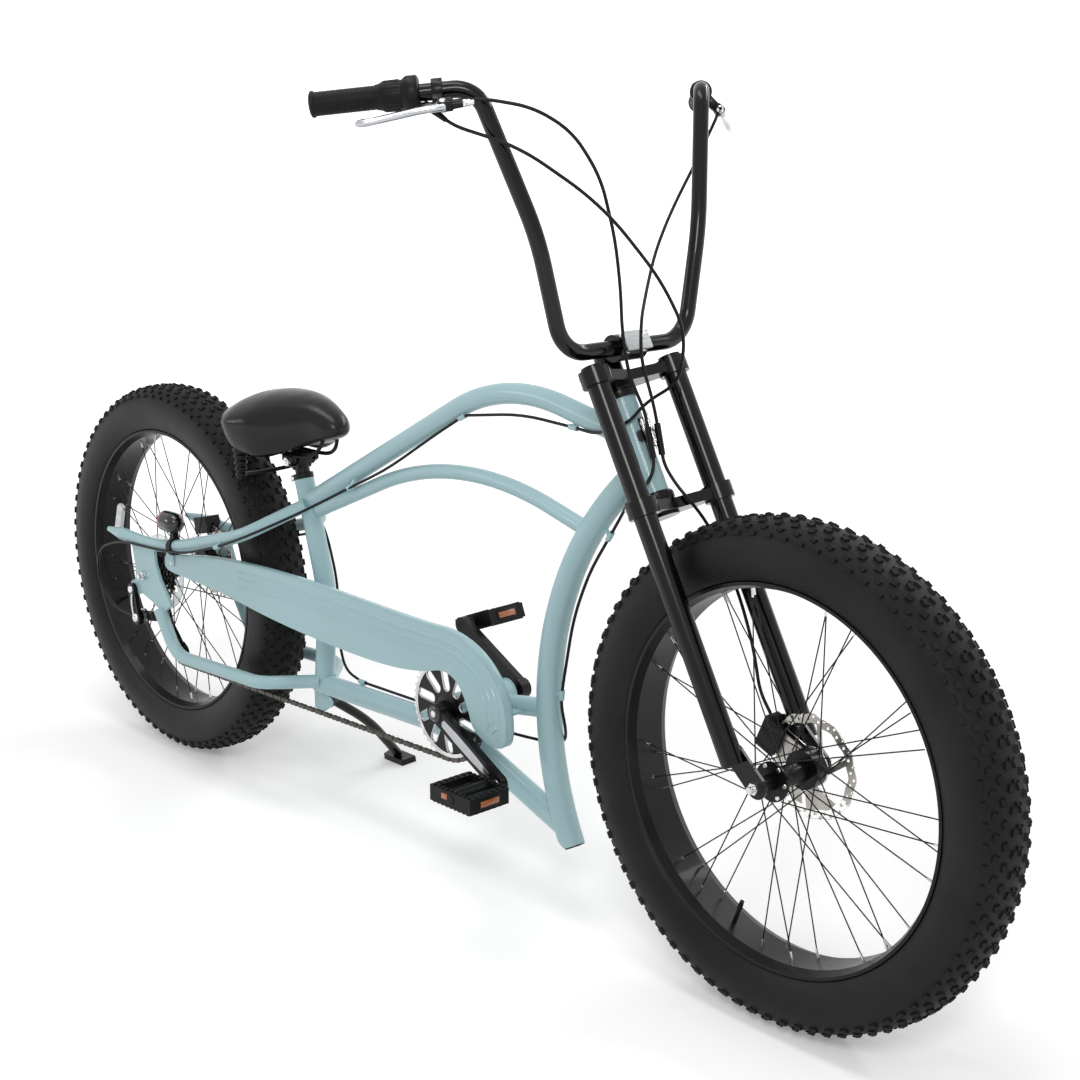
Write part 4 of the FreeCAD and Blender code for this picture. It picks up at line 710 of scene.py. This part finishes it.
cassette = {"teeth": (28, 24, 22, 20, 17, 14), "spacing": 5.0, "thick": 1.8, "bore": 15, "carrier": 20.5}
bm = bmesh.new()
chained = cassette["teeth"].index(drive["sprocket"])
for i, teeth in enumerate(cassette["teeth"]):
    left = side + (chained - i) * cassette["spacing"]
    radius = pitchRadius(teeth)
    loops = [toothLoop(teeth, radius - 3.6, radius + 2.1), ringLoop(cassette["bore"], 32)]
    if teeth > 18:
        loops += holeLoops((radius + 17) / 2, 8, (radius - 19) / 3.4, i * 0.2, 12)
    addSheet(bm, rearAxle + across * left, loops, cassette["thick"], 0.3)
carrier = [(cassette["bore"], side + 16), (cassette["carrier"], side + 16), (cassette["carrier"], side - 11),
           (cassette["bore"], side - 11)]
addTurned(bm, rearAxle, across, carrier, 40, closed=True)
fit(bm, "cassetteSprockets", "frame", "cassetteSteel", ["cassette"])

# Chainring: black spider with slanted slots, bright toothed rim outside it
ringRadius = pitchRadius(drive["ring"])
chainring = {
    "slots": 10, "slotRadius": 7.2, "slotRim": (8.7, 7.1), "spider": 78, "bore": 9,
    "boss": [(9, side - 4), (17, side - 4), (24, side - 2.2), (28, side - 1.2), (28, side + 1),
             (9, side + 1)],
    "guardRing": [(77.5, side - 3.2), (80.5, side - 3.2), (80.5, side - 1.2), (77.5, side - 1.2)],
    "innerRing": [(74.6, side - 2.4), (77.8, side - 2.6), (77.8, side - 1), (74.6, side - 1)],
}


# One long slot of the spider, from the hub to the rim
def slotLoop(number, reach):
    loop, turn = [], math.radians(number * 36 + 18)
    for start, spread in (((66, 6), -math.pi / 2), ((40, 0), math.pi / 2)):
        for k in range(7):
            angle = spread + math.pi * k / 6 + math.atan2(6, 26)
            x, z = start[0] + reach * math.cos(angle), start[1] + reach * math.sin(angle)
            loop.append((x * math.cos(turn) + z * math.sin(turn), z * math.cos(turn) - x * math.sin(turn)))
    return loop


slotRims = bmesh.new()
for i in range(chainring["slots"]):
    rim = [slotLoop(i, reach) for reach in chainring["slotRim"]]
    addSheet(slotRims, bracket + across * (side - 0.5), rim, 3.6, 0.3)
fit(slotRims, "chainringSlotRims", "crankset", "polishedAluminium")
spider = bmesh.new()
slots = [slotLoop(i, chainring["slotRadius"]) for i in range(chainring["slots"])]
loops = [ringLoop(chainring["spider"], 72)] + slots + [ringLoop(chainring["bore"], 24)]
addSheet(spider, bracket + across * side, loops, 3.4, 0.5)
addTurned(spider, bracket, across, chainring["boss"], 48, closed=True)
fit(spider, "chainringSpider", "crankset", "satinBlack", ["chainring"])
teethPiece = bmesh.new()
loops = [toothLoop(drive["ring"], ringRadius - 3.8, ringRadius + 2.1), ringLoop(77.5, 96)]
addSheet(teethPiece, bracket + across * side, loops, 1.9, 0.3)
for ring in ("guardRing", "innerRing"):
    addTurned(teethPiece, bracket, across, chainring[ring], 96, closed=True)
fit(teethPiece, "chainringTeeth", "crankset", "brightSteel")
print("sprockets made")

# Saddle: the CAD shell swelled as padding
saddle = {"shrink": 0.975, "voxel": 0.005, "pressure": 4.0, "frames": 20, "cap": 0.008, "ease": 22,
          "settle": 8}


def smoothed(mesh, rounds):
    bm = bmesh.new()
    bm.from_mesh(mesh)
    for _ in range(rounds):
        bmesh.ops.smooth_vert(bm, verts=bm.verts, factor=0.5, use_axis_x=True, use_axis_y=True,
                              use_axis_z=True)
    bm.to_mesh(mesh)
    bm.free()


def padSaddle():
    source = nodes["saddle"]
    bm = bmesh.new()
    bm.from_mesh(source.data)
    bmesh.ops.remove_doubles(bm, verts=bm.verts, dist=1e-5)
    middle = sum((v.co for v in bm.verts), Vector()) / len(bm.verts)
    shrink = Matrix.Translation(middle) @ Matrix.Scale(saddle["shrink"], 4) @ Matrix.Translation(-middle)
    bmesh.ops.transform(bm, matrix=shrink, verts=bm.verts)
    piece = bpy.data.objects.new("saddleCover", asMesh(bm, "saddleCover"))
    bpy.context.scene.collection.objects.link(piece)
    remesh = piece.modifiers.new("shell", "REMESH")
    remesh.mode, remesh.voxel_size = "VOXEL", saddle["voxel"]
    shell = madeMesh(piece)
    piece.modifiers.clear()
    piece.data = shell
    smoothed(shell, saddle["ease"])
    rest = [v.co.copy() for v in shell.vertices]
    cloth = piece.modifiers.new("padding", "CLOTH")
    cloth.settings.use_pressure, cloth.settings.uniform_pressure_force = True, saddle["pressure"]
    cloth.settings.effector_weights.gravity = 0
    cloth.settings.quality, cloth.settings.bending_stiffness = 5, 8
    scene = bpy.context.scene
    for number in range(1, saddle["frames"] + 1):
        scene.frame_set(number)
    swelled = madeMesh(piece)
    piece.modifiers.clear()
    scene.frame_set(1)
    for vert, was in zip(swelled.vertices, rest):
        move = vert.co - was
        if move.length > saddle["cap"]:
            vert.co = was + move.normalized() * saddle["cap"]
    smoothed(swelled, saddle["settle"])
    piece.data = swelled
    piece.data.name = "saddleCover"
    piece.data.shade_smooth()
    piece.data.materials.clear()
    piece.data.materials.append(looks["leatherette"])
    smooth = piece.modifiers.new("smooth", "SUBSURF")
    smooth.levels = smooth.render_levels = 1
    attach(piece, "frame")
    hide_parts("saddle")


padSaddle()
print("saddle padded")

# Under the saddle: rails, clamp with its cross bolt, ribbed rubber springs, collar on the seat tube
under = {
    "tubeTop": (420, 0, 630), "post": (-0.285, 0, 0.958), "clampUp": 26,
    "spring": (312, 62, 612), "springHeight": 90, "ribs": 7,
    "rail": [(-120, 60, 10), (-98, 44, 30), (-75, 26, 38), (-30, 25, 38), (10, 24, 38), (48, 23, 40),
             (72, 20, 52), (84, 16, 70), (88, 14, 84)],
    "bridge": [(312, -60, 622), (298, -30, 616), (298, 30, 616), (312, 60, 622)],
    "bolt": [(0, 4.6), (3.2, 4.6), (3.4, 3.2), (7.6, 3), (8.2, 0.6), (8.2, -2)],
}
tubeTop, postWay = Vector(under["tubeTop"]), Vector(under["post"]).normalized()
seatTop = tubeTop + postWay * under["clampUp"]
bm = bmesh.new()
for hand in (-1, 1):
    addBar(bm, [tubeTop + Vector((x, hand * y, z)) for x, y, z in under["rail"]], 3.7)
    spring = Vector((under["spring"][0], hand * under["spring"][1], under["spring"][2]))
    line = [(0, 0), (6, 0), (8.5, 2.5)]
    for k in range(under["ribs"]):
        wide, low = 9.5 + 0.95 * k, 4 + 11.5 * k
        line += [(wide - 1.6, low), (wide + 0.8, low + 3.2), (wide + 0.8, low + 7), (wide - 1.2, low + 10)]
    high = under["springHeight"]
    line += [(16.6, high - 4), (16.6, high + 3), (0, high + 3)]
    addTurned(bm, spring, (0, 0, 1), line, 32)
addBar(bm, under["bridge"], 4)
addRod(bm, seatTop - across * 25, seatTop + across * 25, 10.5, sides=32)
addBlock(bm, seatTop + Vector((0, 0, 12)), (40, 56, 6), soft=2)
addBlock(bm, seatTop + Vector((0, 0, -3)), (30, 30, 20), soft=3)
for hand in (-1, 1):
    addBlock(bm, seatTop + Vector((0, hand * 25, 6)), (34, 10, 14), soft=3)
addTurned(bm, tubeTop, postWay, [(13.8, 1.5), (17.4, 1.5), (18.4, 0.5), (18.4, -9), (17.2, -10)], 40)
fit(bm, "saddleUnderframe", "frame", "satinBlack", ["saddle_frame"])
bm = bmesh.new()
for hand in (-1, 1):
    addTurned(bm, seatTop + across * hand * 30, across * hand, under["bolt"], 20)
collar = tubeTop - postWay * 4.5 - Vector((19.5, 0, 6))
addRod(bm, collar - across * 11, collar + across * 11, 3.2)
addTurned(bm, collar - across * 9, -across, [(0, 5), (4.4, 5), (5.6, 3.4), (5.6, -1)], 18)
addTurned(bm, collar + across * 9, across, [(0, 4), (4.4, 4), (5.2, 2.8), (5.2, -1)], 6)
fit(bm, "saddleBolts", "frame", "brightSteel")

# Chain guard: its shell, embossed lines and bolts
guard = {
    "edge": [(60, 409), (60, 420), (70, 428), (98, 430), (247, 453), (451, 462), (572, 461), (664, 459),
             (796, 456), (858, 456), (904, 458), (949, 452), (993, 435), (1027, 407), (1050, 375),
             (1058, 340), (1058, 306), (1050, 292), (1036, 289)],
    "low": [(1017, 289), (978, 303), (965, 344), (939, 380), (902, 390), (856, 374), (760, 361), (608, 361),
            (423, 370), (285, 385), (183, 391), (84, 394), (68, 397), (60, 403)],
    # distance from the edge and radius of each embossed line, all ahead of where they start
    "face": -80, "ribs": ((17, 2.4), (31, 2.8), (45, 2.0)), "ribStart": 300,
    # a place and the turned line of each bolt
    "bolts": (((84, -80, 412), [(0, 3.2), (3, 3), (5.5, 2.0), (6.2, 0.4), (6.2, 0)], 24),
              ((0, -99.2, 373), [(0, 3), (4, 2.4), (6, 1.2), (6.4, 0)], 20)),
}


def insetLine(line, distance):
    moved = []
    for i, (x, z) in enumerate(line):
        one, two = line[max(i - 1, 0)], line[min(i + 1, len(line) - 1)]
        run = Vector((two[0] - one[0], two[1] - one[1])).normalized()
        moved.append((x + run.y * distance, z - run.x * distance))
    return moved


# Corners cut back twice, so that an outline runs smoothly
def eased(points, rounds=3, closed=False, share=0.25):
    for _ in range(rounds):
        pairs = list(zip(points, points[1:] + points[:1] if closed else points[1:]))
        cut = []
        for (x0, z0), (x1, z1) in pairs:
            cut.append((x0 + (x1 - x0) * share, z0 + (z1 - z0) * share))
            cut.append((x1 - (x1 - x0) * share, z1 - (z1 - z0) * share))
        points = cut if closed else [points[0]] + cut[1:-1] + [points[-1]]
    return points


top = eased(guard["edge"])
bm = bmesh.new()
addSheet(bm, (0, guard["face"] + 1, 0), [top + eased(guard["low"])], 2, 0.8)
addSheet(bm, (0, guard["face"] + 9, 0), [top[6:] + insetLine(top, 2)[:5:-1]], 18, 0.8)
fit(bm, "guardShell", "frame", "framePaint", ["chain_guard"], angle=50)
bm = bmesh.new()
for distance, radius in guard["ribs"]:
    known = len(bm.verts)
    addBar(bm, [(x, guard["face"], z) for x, z in insetLine(top, distance) if x > guard["ribStart"]], radius)
    bmesh.ops.scale(bm, vec=(1, 0.6, 1), verts=vertsAfter(bm, known),
                    space=Matrix.Translation((0, -guard["face"], 0)))
fit(bm, "guardRibs", "frame", "framePaint")
bm = bmesh.new()
for place, line, steps in guard["bolts"]:
    addTurned(bm, place, (0, -1, 0), line, steps)
fit(bm, "guardBolts", "frame", "brightSteel")

# Cranks and pedals
crank = {
    "drop": 28, "length": 170, "plane": 93, "half": 6.5,
    "inlay": [(24, 6.5), (60, 8.5), (110, 8), (148, 5), (152, 0), (148, -5), (110, -8), (60, -8.5),
              (24, -6.5), (21, 0)],
    "bolt": [(0, 4.6), (3.4, 4.4), (4.2, 3.4), (5.6, 3.4), (6.4, 2.6), (6.4, -0.5)],
    "pedalEnd": [(0, 0.8), (3.2, 0.8), (3.4, 1.6), (7, 1.4), (7.6, 0.2), (7.6, -0.4)],
    "cap": [(6, 3.6), (9, 3.4), (12.5, 2.2), (14, 0.4), (14, -0.5)],
}
# the right pedal lies level, and the left one hangs with its rear down
pedal = {"side": 155, "tilt": {"right": 0, "left": -22}}
dropped = math.radians(crank["drop"])
crankRun = Vector((math.cos(dropped), 0, -math.sin(dropped)))
crankUp = Vector((math.sin(dropped), 0, math.cos(dropped)))
for hand, name in ((-1, "right"), (1, "left")):
    run = crankRun * -hand
    face = across * hand * (crank["plane"] + crank["half"])
    spot = Matrix((run, crankUp * -hand, across * -1)).transposed().to_4x4()
    spot = Matrix.Translation(bracket + face) @ spot
    bm = bmesh.new()
    addSheet(bm, None, [crank["inlay"]], 1.0, 0.25, spot)
    look, slot = ("polishedAluminium", "steel") if hand < 0 else ("glossBlack", "black_paint")
    fit(bm, name + "CrankInlay", "crankset", look)
    bm = bmesh.new()
    addTurned(bm, bracket + face, across * hand, crank["bolt"], 28)
    tip = bracket + run * crank["length"] + face
    addTurned(bm, tip, across * hand, crank["pedalEnd"], 24)
    fit(bm, name + "CrankBolt", "crankset", "brightSteel")
    bm = bmesh.new()
    addTurned(bm, bracket + face, across * hand, crank["cap"], 32)
    fit(bm, name + "CrankCap", "crankset", "lensBlack")

    middle = bracket + run * crank["length"] + across * hand * pedal["side"]
    tilt = Matrix.Rotation(math.radians(pedal["tilt"][name]), 4, "Y")
    place = Matrix.Translation(middle) @ tilt
    bm = bmesh.new()
    for end in (-1, 1):
        addBlock(bm, (end * 48.2, 0, 0), (2.6, 38, 10), soft=0.8)
    addBlock(bm, (-12, hand * 40.4, 3), (14, 2.4, 9), soft=0.8)
    bmesh.ops.transform(bm, matrix=place, verts=bm.verts)
    fit(bm, name + "PedalReflectors", name + "_pedal", "amberReflector")
    bm = bmesh.new()
    for wide in (-1, 1):
        for tall in (-1, 1):
            for k in range(9):
                addBlock(bm, (-40 + 10 * k, wide * 36, tall * 13.4), (5, 6, 3.4), soft=0.6)
            for k in range(5):
                addBlock(bm, (wide * 42, -24 + 12 * k, tall * 13.2), (9, 4, 2.6), soft=0.5)
    for end in (-1, 1):
        addBlock(bm, (end * 47.4, 0, 0), (3, 46, 18), soft=0.9)
        addBlock(bm, (end * 20, 0, 0), (4, 66, 14), soft=0.8)
    addTurned(bm, (0, hand * -40, 0), (0, -hand, 0), [(7, -4), (10, -4), (10, 4), (8.5, 6), (7, 6)], 24)
    addTurned(bm, (0, hand * 40, 0), (0, hand, 0), [(0, 1.6), (8, 1.4), (9.4, 0.2), (9.4, -1)], 24)
    bmesh.ops.transform(bm, matrix=place, verts=bm.verts)
    fit(bm, name + "PedalTeeth", name + "_pedal", "resinBlack")
print("cranks and pedals dressed")

# Handlebar ends: grips, twist shifter, levers
bar = {"corner": (227, 571, 161), "end": (391, 623, 16)}
ends = {
    "right": {"hand": -1, "grip": 94, "lever": 44, "down": 28},
    "left": {"hand": 1, "grip": 126, "lever": 60, "down": 45},
}
lever = {
    "blade": [(-4, 34), (8, 31), (22, 36), (38, 43.5), (70, 53), (98, 60.5), (110, 61), (117, 63.5),
              (119, 68), (114, 72), (104, 71.5), (84, 67.5), (60, 61.5), (38, 56), (20, 53), (2, 52),
              (-4, 47)],
    "clamp": [(12.2, 0.5), (17, 0.5), (17.4, 2), (17.4, 14), (17, 15.5), (12.2, 15.5)],
    "adjuster": [(5, 0), (5.4, 1), (5.4, 4), (4.2, 5), (5.2, 6), (5.2, 9), (3.6, 10), (3.6, 14), (2.6, 15)],
    "pivot": [(0, 1.6), (2, 1.6), (4, 1.2), (4.4, 0), (4.4, -1)],
}
shifter = {"start": 78, "ridges": 22, "ridgeRadius": 20.2,
           "housing": ((1124, -276, 1286), (1154, -258, 1260))}
for name, end in ends.items():
    hand = end["hand"]
    corner = steerPoint(bar["corner"][1], bar["corner"][2], hand * bar["corner"][0])
    tip = steerPoint(bar["end"][1], bar["end"][2], hand * bar["end"][0])
    out = (tip - corner).normalized()
    level = out.cross(Vector((0, 0, 1))).normalized()
    level = level if level.x > 0 else -level
    below = level.cross(out).normalized()
    below = below if below.z < 0 else -below
    turn = math.radians(end["down"])
    fingers = level * math.cos(turn) + below * math.sin(turn)
    flat = out.cross(fingers).normalized()

    bm = bmesh.new()
    line = [(0, 2.4), (9, 2.4), (14, 1.4), (17.6, -0.6), (18.2, -2.5), (17.8, -5), (16.2, -6.5)]
    steps = int((end["grip"] - 14) / 4)
    for k in range(steps):
        line += [(16.4, -8 - 4 * k), (16.4, -10.2 - 4 * k), (15.9, -10.6 - 4 * k), (15.9, -11.6 - 4 * k)]
    line += [(17.2, -end["grip"] + 4), (17.2, -end["grip"] + 0.4), (12.2, -end["grip"] + 0.4)]
    addTurned(bm, tip, out, line, 40)
    fit(bm, name + "Grip", "steering", "gripRubber", ["grips"], angle=50)

    start = corner + out * end["lever"]
    spot = Matrix((out, fingers, flat)).transposed().to_4x4()
    bm = bmesh.new()
    addSheet(bm, None, [lever["blade"]], 9, 2.4, Matrix.Translation(start) @ spot)
    addBlock(bm, start + out * 4 + fingers * 43, (14, 14, 11), spot, 2)
    fit(bm, name + "LeverBlade", "steering", "polishedAluminium", ["brake_levers"], angle=50)

    bm = bmesh.new()
    addTurned(bm, start, out, lever["clamp"], 36, closed=True)
    addBlock(bm, start + out * 8 + fingers * 24, (14, 20, 15), spot, 2.5)
    addBlock(bm, start - out * 2 + fingers * 40, (22, 16, 16), spot, 3)
    addRod(bm, start - out * 12 + fingers * 42, start - out * 26 + fingers * 42, 6.5, 5.2)
    fit(bm, name + "LeverPerch", "steering", "satinBlack")
    bm = bmesh.new()
    addTurned(bm, start - out * 26 + fingers * 42, -out, lever["adjuster"], 20)
    for up in (-1, 1):
        addTurned(bm, start + out * 1 + fingers * 42 + flat * up * 8, flat * up, lever["pivot"], 20)
    addTurned(bm, start + out * 8 - fingers * 16, -fingers, [(0, 3), (2.6, 3), (3.2, 2.2), (3.2, -1)], 16)
    fit(bm, name + "LeverBolts", "steering", "brightSteel")

    if hand < 0:
        first = corner + out * shifter["start"]
        last = (tip - corner).length + 2 - end["grip"] - shifter["start"]
        bm = bmesh.new()
        line = [(12.2, -2), (20, -2), (23.5, 0), (25.2, 3), (25.2, 12), (23.6, 17), (21, 20), (20, 22),
                (20.6, 24), (20.6, last - 8), (18.4, last - 4), (17.6, last - 0.6), (12.2, last - 0.6)]
        addTurned(bm, first, out, line, 48)
        for k in range(shifter["ridges"]):
            angle = math.tau * k / shifter["ridges"]
            ray = (level * math.cos(angle) + below * math.sin(angle)) * shifter["ridgeRadius"]
            addRod(bm, first + out * 25 + ray, first + out * (last - 9) + ray, 1.3, 1.1, sides=6)
        upright = Matrix((out, level, below)).transposed().to_4x4()
        addBlock(bm, first + out * 8 - below * 17.6, (17, 24, 12), upright, 3)
        outlet, onward = [Vector(place) for place in shifter["housing"]]
        addRod(bm, outlet, outlet.lerp(onward, 0.75), 6.5, 3.4)
        leads = [first + out * 6 + level * 12 + below * 14, first + out * 2 + level * 18 + below * 22]
        addBar(bm, leads + [outlet], 6.5)
        fit(bm, "twistShifterBody", "steering", "resinBlack", ["twist_shifter"], angle=40)
        bm = bmesh.new()
        addBlock(bm, first + out * 8 - below * 23.9, (12, 17, 1.6), upright, 0.6)
        fit(bm, "shifterWindow", "steering", "clearReflector")
print("grips, levers and shifter made")

# Stem, clamps and front reflector
stem = {
    "bar": (216, 44), "clampUps": (176, -24), "clampSide": 86,
    "barBolt": [(0, 4), (2.2, 4), (2.2, 2.4), (3.6, 3.8), (4.6, 3), (4.6, -1)],
    "forkBolt": [(0, 4.2), (2.4, 4.2), (2.4, 2.6), (3.8, 3.9), (4.8, 3), (4.8, -3)],
    "topBolt": [(0, 2.4), (3, 2.4), (3.2, 0.8), (6, 1.8), (7, 0.6), (7, -1)],
    "reflectorClamp": [(12.3, 0), (15.6, 0), (16, 1.5), (16, 18.5), (15.6, 20), (12.3, 20)],
}
upright = Matrix((steerAhead, across, steerUp)).transposed().to_4x4()
stemBits = bmesh.new()
barMiddle = steerPoint(*stem["bar"])
for left in (-17, 17):
    for up in (-11, 11):
        foot = barMiddle + across * left + steerUp * up + steerAhead * 15
        addTurned(stemBits, foot, steerAhead, stem["barBolt"], 18)
for up in stem["clampUps"]:
    for hand in (-1, 1):
        for step in (-6, 6):
            foot = steerPoint(up + step, 24, hand * stem["clampSide"])
            addTurned(stemBits, foot, -steerAhead, stem["forkBolt"], 18)
addTurned(stemBits, steerPoint(236, 0), steerUp, stem["topBolt"], 20)
fit(stemBits, "steeringBolts", "steering", "brightSteel")
bm = bmesh.new()
for up, low, high in ((0, -12, 2), (152, -2, 12)):
    line = [(22.3, low), (26.6, low), (27.2, low + 2), (27.2, high - 4), (25, high - 1), (22.3, high)]
    addTurned(bm, steerPoint(up, 0), steerUp, line, 48, closed=True)
addRod(bm, steerPoint(60, 23, 0), steerPoint(112, 23, 0), 5.2, 4.6)
addBlock(bm, steerPoint(86, 27, -4), (12, 26, 16), upright, 3)
fit(bm, "headsetRings", "frame", "satinBlack")
bm = bmesh.new()
for left, low, high in ((-11, 52, 108), (2, 60, 122), (9, 46, 96)):
    start, end = steerPoint(low, 34, left), steerPoint(high, 34, left + 1.5)
    addRod(bm, start, end, 2.0, sides=12)
    for share in (0.12, 0.3, 0.7, 0.88):
        spot = start.lerp(end, share)
        addTurned(bm, spot, end - start, [(2.0, -3.4), (3.4, -2.6), (3.4, 2.6), (2.0, 3.4)], 14)
fit(bm, "adjusterBarrels", "frame", "brightSteel")

bm = bmesh.new()
addBlock(bm, barMiddle + steerAhead * 28, (5, 50, 30), upright, 2.2)
fit(bm, "frontReflectorLens", "steering", "clearReflector", ["front_reflector"])
bm = bmesh.new()
addBlock(bm, barMiddle + steerAhead * 23.2, (5, 47, 27), upright, 1.6)
addTurned(bm, barMiddle - across * 10, across, stem["reflectorClamp"], 32, closed=True)
addBlock(bm, barMiddle + steerAhead * 18, (9, 14, 12), upright, 1.5)
fit(bm, "reflectorBracket", "steering", "resinBlack")
print("stem and clamps dressed")

# Rear lamp, reflector in the spokes, protector disc, small fittings
rearLamp = {
    "back": (88, -91, 500),
    "dome": [(20.4, 6), (20.6, 26), (19.6, 34), (16.8, 41), (12, 46.4), (6, 49.2), (0, 50)],
    "lens": [(20.2, -8), (20.4, -2), (19, 1.5), (12, 5), (5, 6.4), (0, 6.6)],
}
bm = bmesh.new()
addTurned(bm, rearLamp["back"], (1, 0, 0), rearLamp["dome"], 48)
fit(bm, "lampDome", "frame", "lensBlack")
bm = bmesh.new()
addTurned(bm, rearLamp["back"], (-1, 0, 0), rearLamp["lens"], 40)
fit(bm, "lampLens", "frame", "redReflector")

spokeReflector = {"degrees": 163, "radius": 222, "left": -19, "half": 27, "round": 11, "thick": 9,
                  "edge": 2.2}
bm = bmesh.new()
oval = (arcLoop(spokeReflector["half"], 0, spokeReflector["round"], -math.pi / 2, math.pi, 8)
        + arcLoop(-spokeReflector["half"], 0, spokeReflector["round"], math.pi / 2, math.pi, 8))
middle = wheelPoint(rearAxle, spokeReflector["radius"], spokeReflector["degrees"], spokeReflector["left"])
spot = (Matrix.Translation(middle) @ Matrix.Rotation(math.radians(90 - spokeReflector["degrees"]), 4, "Y")
        @ Matrix.Rotation(math.pi / 2, 4, "X"))
addSheet(bm, None, [oval], spokeReflector["thick"], spokeReflector["edge"], spot)
fit(bm, "rearSpokeReflector", "rear_wheel", "clearReflector")

protector = {"left": -50, "outer": 76, "inner": 24, "thick": 1.4, "holes": 12, "holeCircle": 52,
             "holeRadius": 8}
bm = bmesh.new()
loops = [ringLoop(protector["outer"], 72), ringLoop(protector["inner"], 40)]
loops += holeLoops(protector["holeCircle"], protector["holes"], protector["holeRadius"], sides=14)
addSheet(bm, rearAxle + across * protector["left"], loops, protector["thick"], 0.3)
fit(bm, "spokeProtector", "rear_wheel", "clearPlastic")

# Derailleur: toothed pulleys, pivots and cage screws
derailleur = {
    # ahead, up, left and radius of each screw or pivot
    "screws": ((*drive["guide"], -77.4, 5), (*drive["tension"], -77.4, 5), (-43, 337, -100, 7.5),
               (-30, 281, -100, 9)),
    "collar": (-30, -84, 281), "link": [(-36, -101.4, 330), (-40, -102.2, 310), (-34, -101.4, 288)],
}
bm = bmesh.new()
radius = pitchRadius(drive["pulley"])
loops = [toothLoop(drive["pulley"], radius - 3.4, radius + 1.6), ringLoop(6, 20)] + holeLoops(12, 5, 2.6)
for x, z in (drive["guide"], drive["tension"]):
    addSheet(bm, (x, side, z), loops, 2.4, 0.3)
fit(bm, "derailleurPulleys", "frame", "resinBlack")
bm = bmesh.new()
for x, z, left, radius in derailleur["screws"]:
    line = [(0, 1.0), (radius * 0.4, 1.0), (radius * 0.5, 2.6), (radius * 0.9, 2.2), (radius, 0.6),
            (radius, -0.8)]
    addTurned(bm, (x, left, z), (0, -1, 0), line, 24)
addTurned(bm, derailleur["collar"], (0, -1, 0), [(15.2, -3), (15.6, 0), (15.6, 3), (15.2, 5)], 32)
addBar(bm, derailleur["link"], 2.2)
fit(bm, "derailleurScrews", "frame", "brightSteel")

# Brake calipers: fixing bolts, cable arm and adjuster
calipers = {
    "rear": {"degrees": 103, "face": 84, "body": "frame"},
    "front": {"degrees": 157, "face": 65, "body": "steering"},
}
for end, caliper in calipers.items():
    degrees, high = caliper["degrees"], caliper["face"]
    centre = wheels[end]["centre"]
    bm = bmesh.new()
    for shift in (-15, 15):
        base = wheelPoint(centre, 86, degrees + shift, high)
        addTurned(bm, base, across, [(0, 1), (2.4, 1), (2.8, 3), (4.6, 2.6), (5, 0.6), (5, -0.6)], 18)
    base = wheelPoint(centre, 74, degrees, high)
    addTurned(bm, base, across, [(0, 2.6), (5, 2.6), (6, 3.4), (9, 3), (10, 1), (10, -0.8)], 24)
    arm = ((76, 0, 3), (92, 8, 3.4), (98, 16, 1))
    addBar(bm, [wheelPoint(centre, radius, degrees + turn, high + out) for radius, turn, out in arm], 2.8)
    fit(bm, end + "CaliperBolts", caliper["body"], "brightSteel")

# Black plug in the open half of the down tube's end
tip = {"centre": (1128, 0, 128), "ahead": (0.893, 0, 0.449), "radius": 20.4, "from": 3.2, "thick": 5}
openAngle = math.acos(tip["from"] / tip["radius"])
plug = arcLoop(0, 0, tip["radius"], -openAngle, 2 * openAngle, 24)
ahead = Vector(tip["ahead"]).normalized()
spot = Matrix.Translation(tip["centre"]) @ Matrix((ahead, across, ahead.cross(across))).transposed().to_4x4()
bm = bmesh.new()
addSheet(bm, None, [plug], tip["thick"], 0.8, spot)
fit(bm, "downTubeTipCap", "frame", "lensBlack")
print("lamp, reflectors and fittings made")

# Raised rims round the bottom bracket's ends
bracketRim = {"left": 59.5, "line": [(23.5, -1.2), (25.2, -1), (25.4, 0.8), (23.5, 1.2)]}
bm = bmesh.new()
for left in (-bracketRim["left"], bracketRim["left"]):
    addTurned(bm, bracket + across * left, across, bracketRim["line"], 40, closed=True)
fit(bm, "bracketRims", "frame", "framePaint")


# Cables that cross the steering
def crossingCables():
    source = nodes["bar_cables"]
    piece = bpy.data.objects.new("crossingCables", source.data.copy())
    bpy.context.scene.collection.objects.link(piece)
    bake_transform(piece)
    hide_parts("bar_cables")


crossingCables()

print("scene finished")
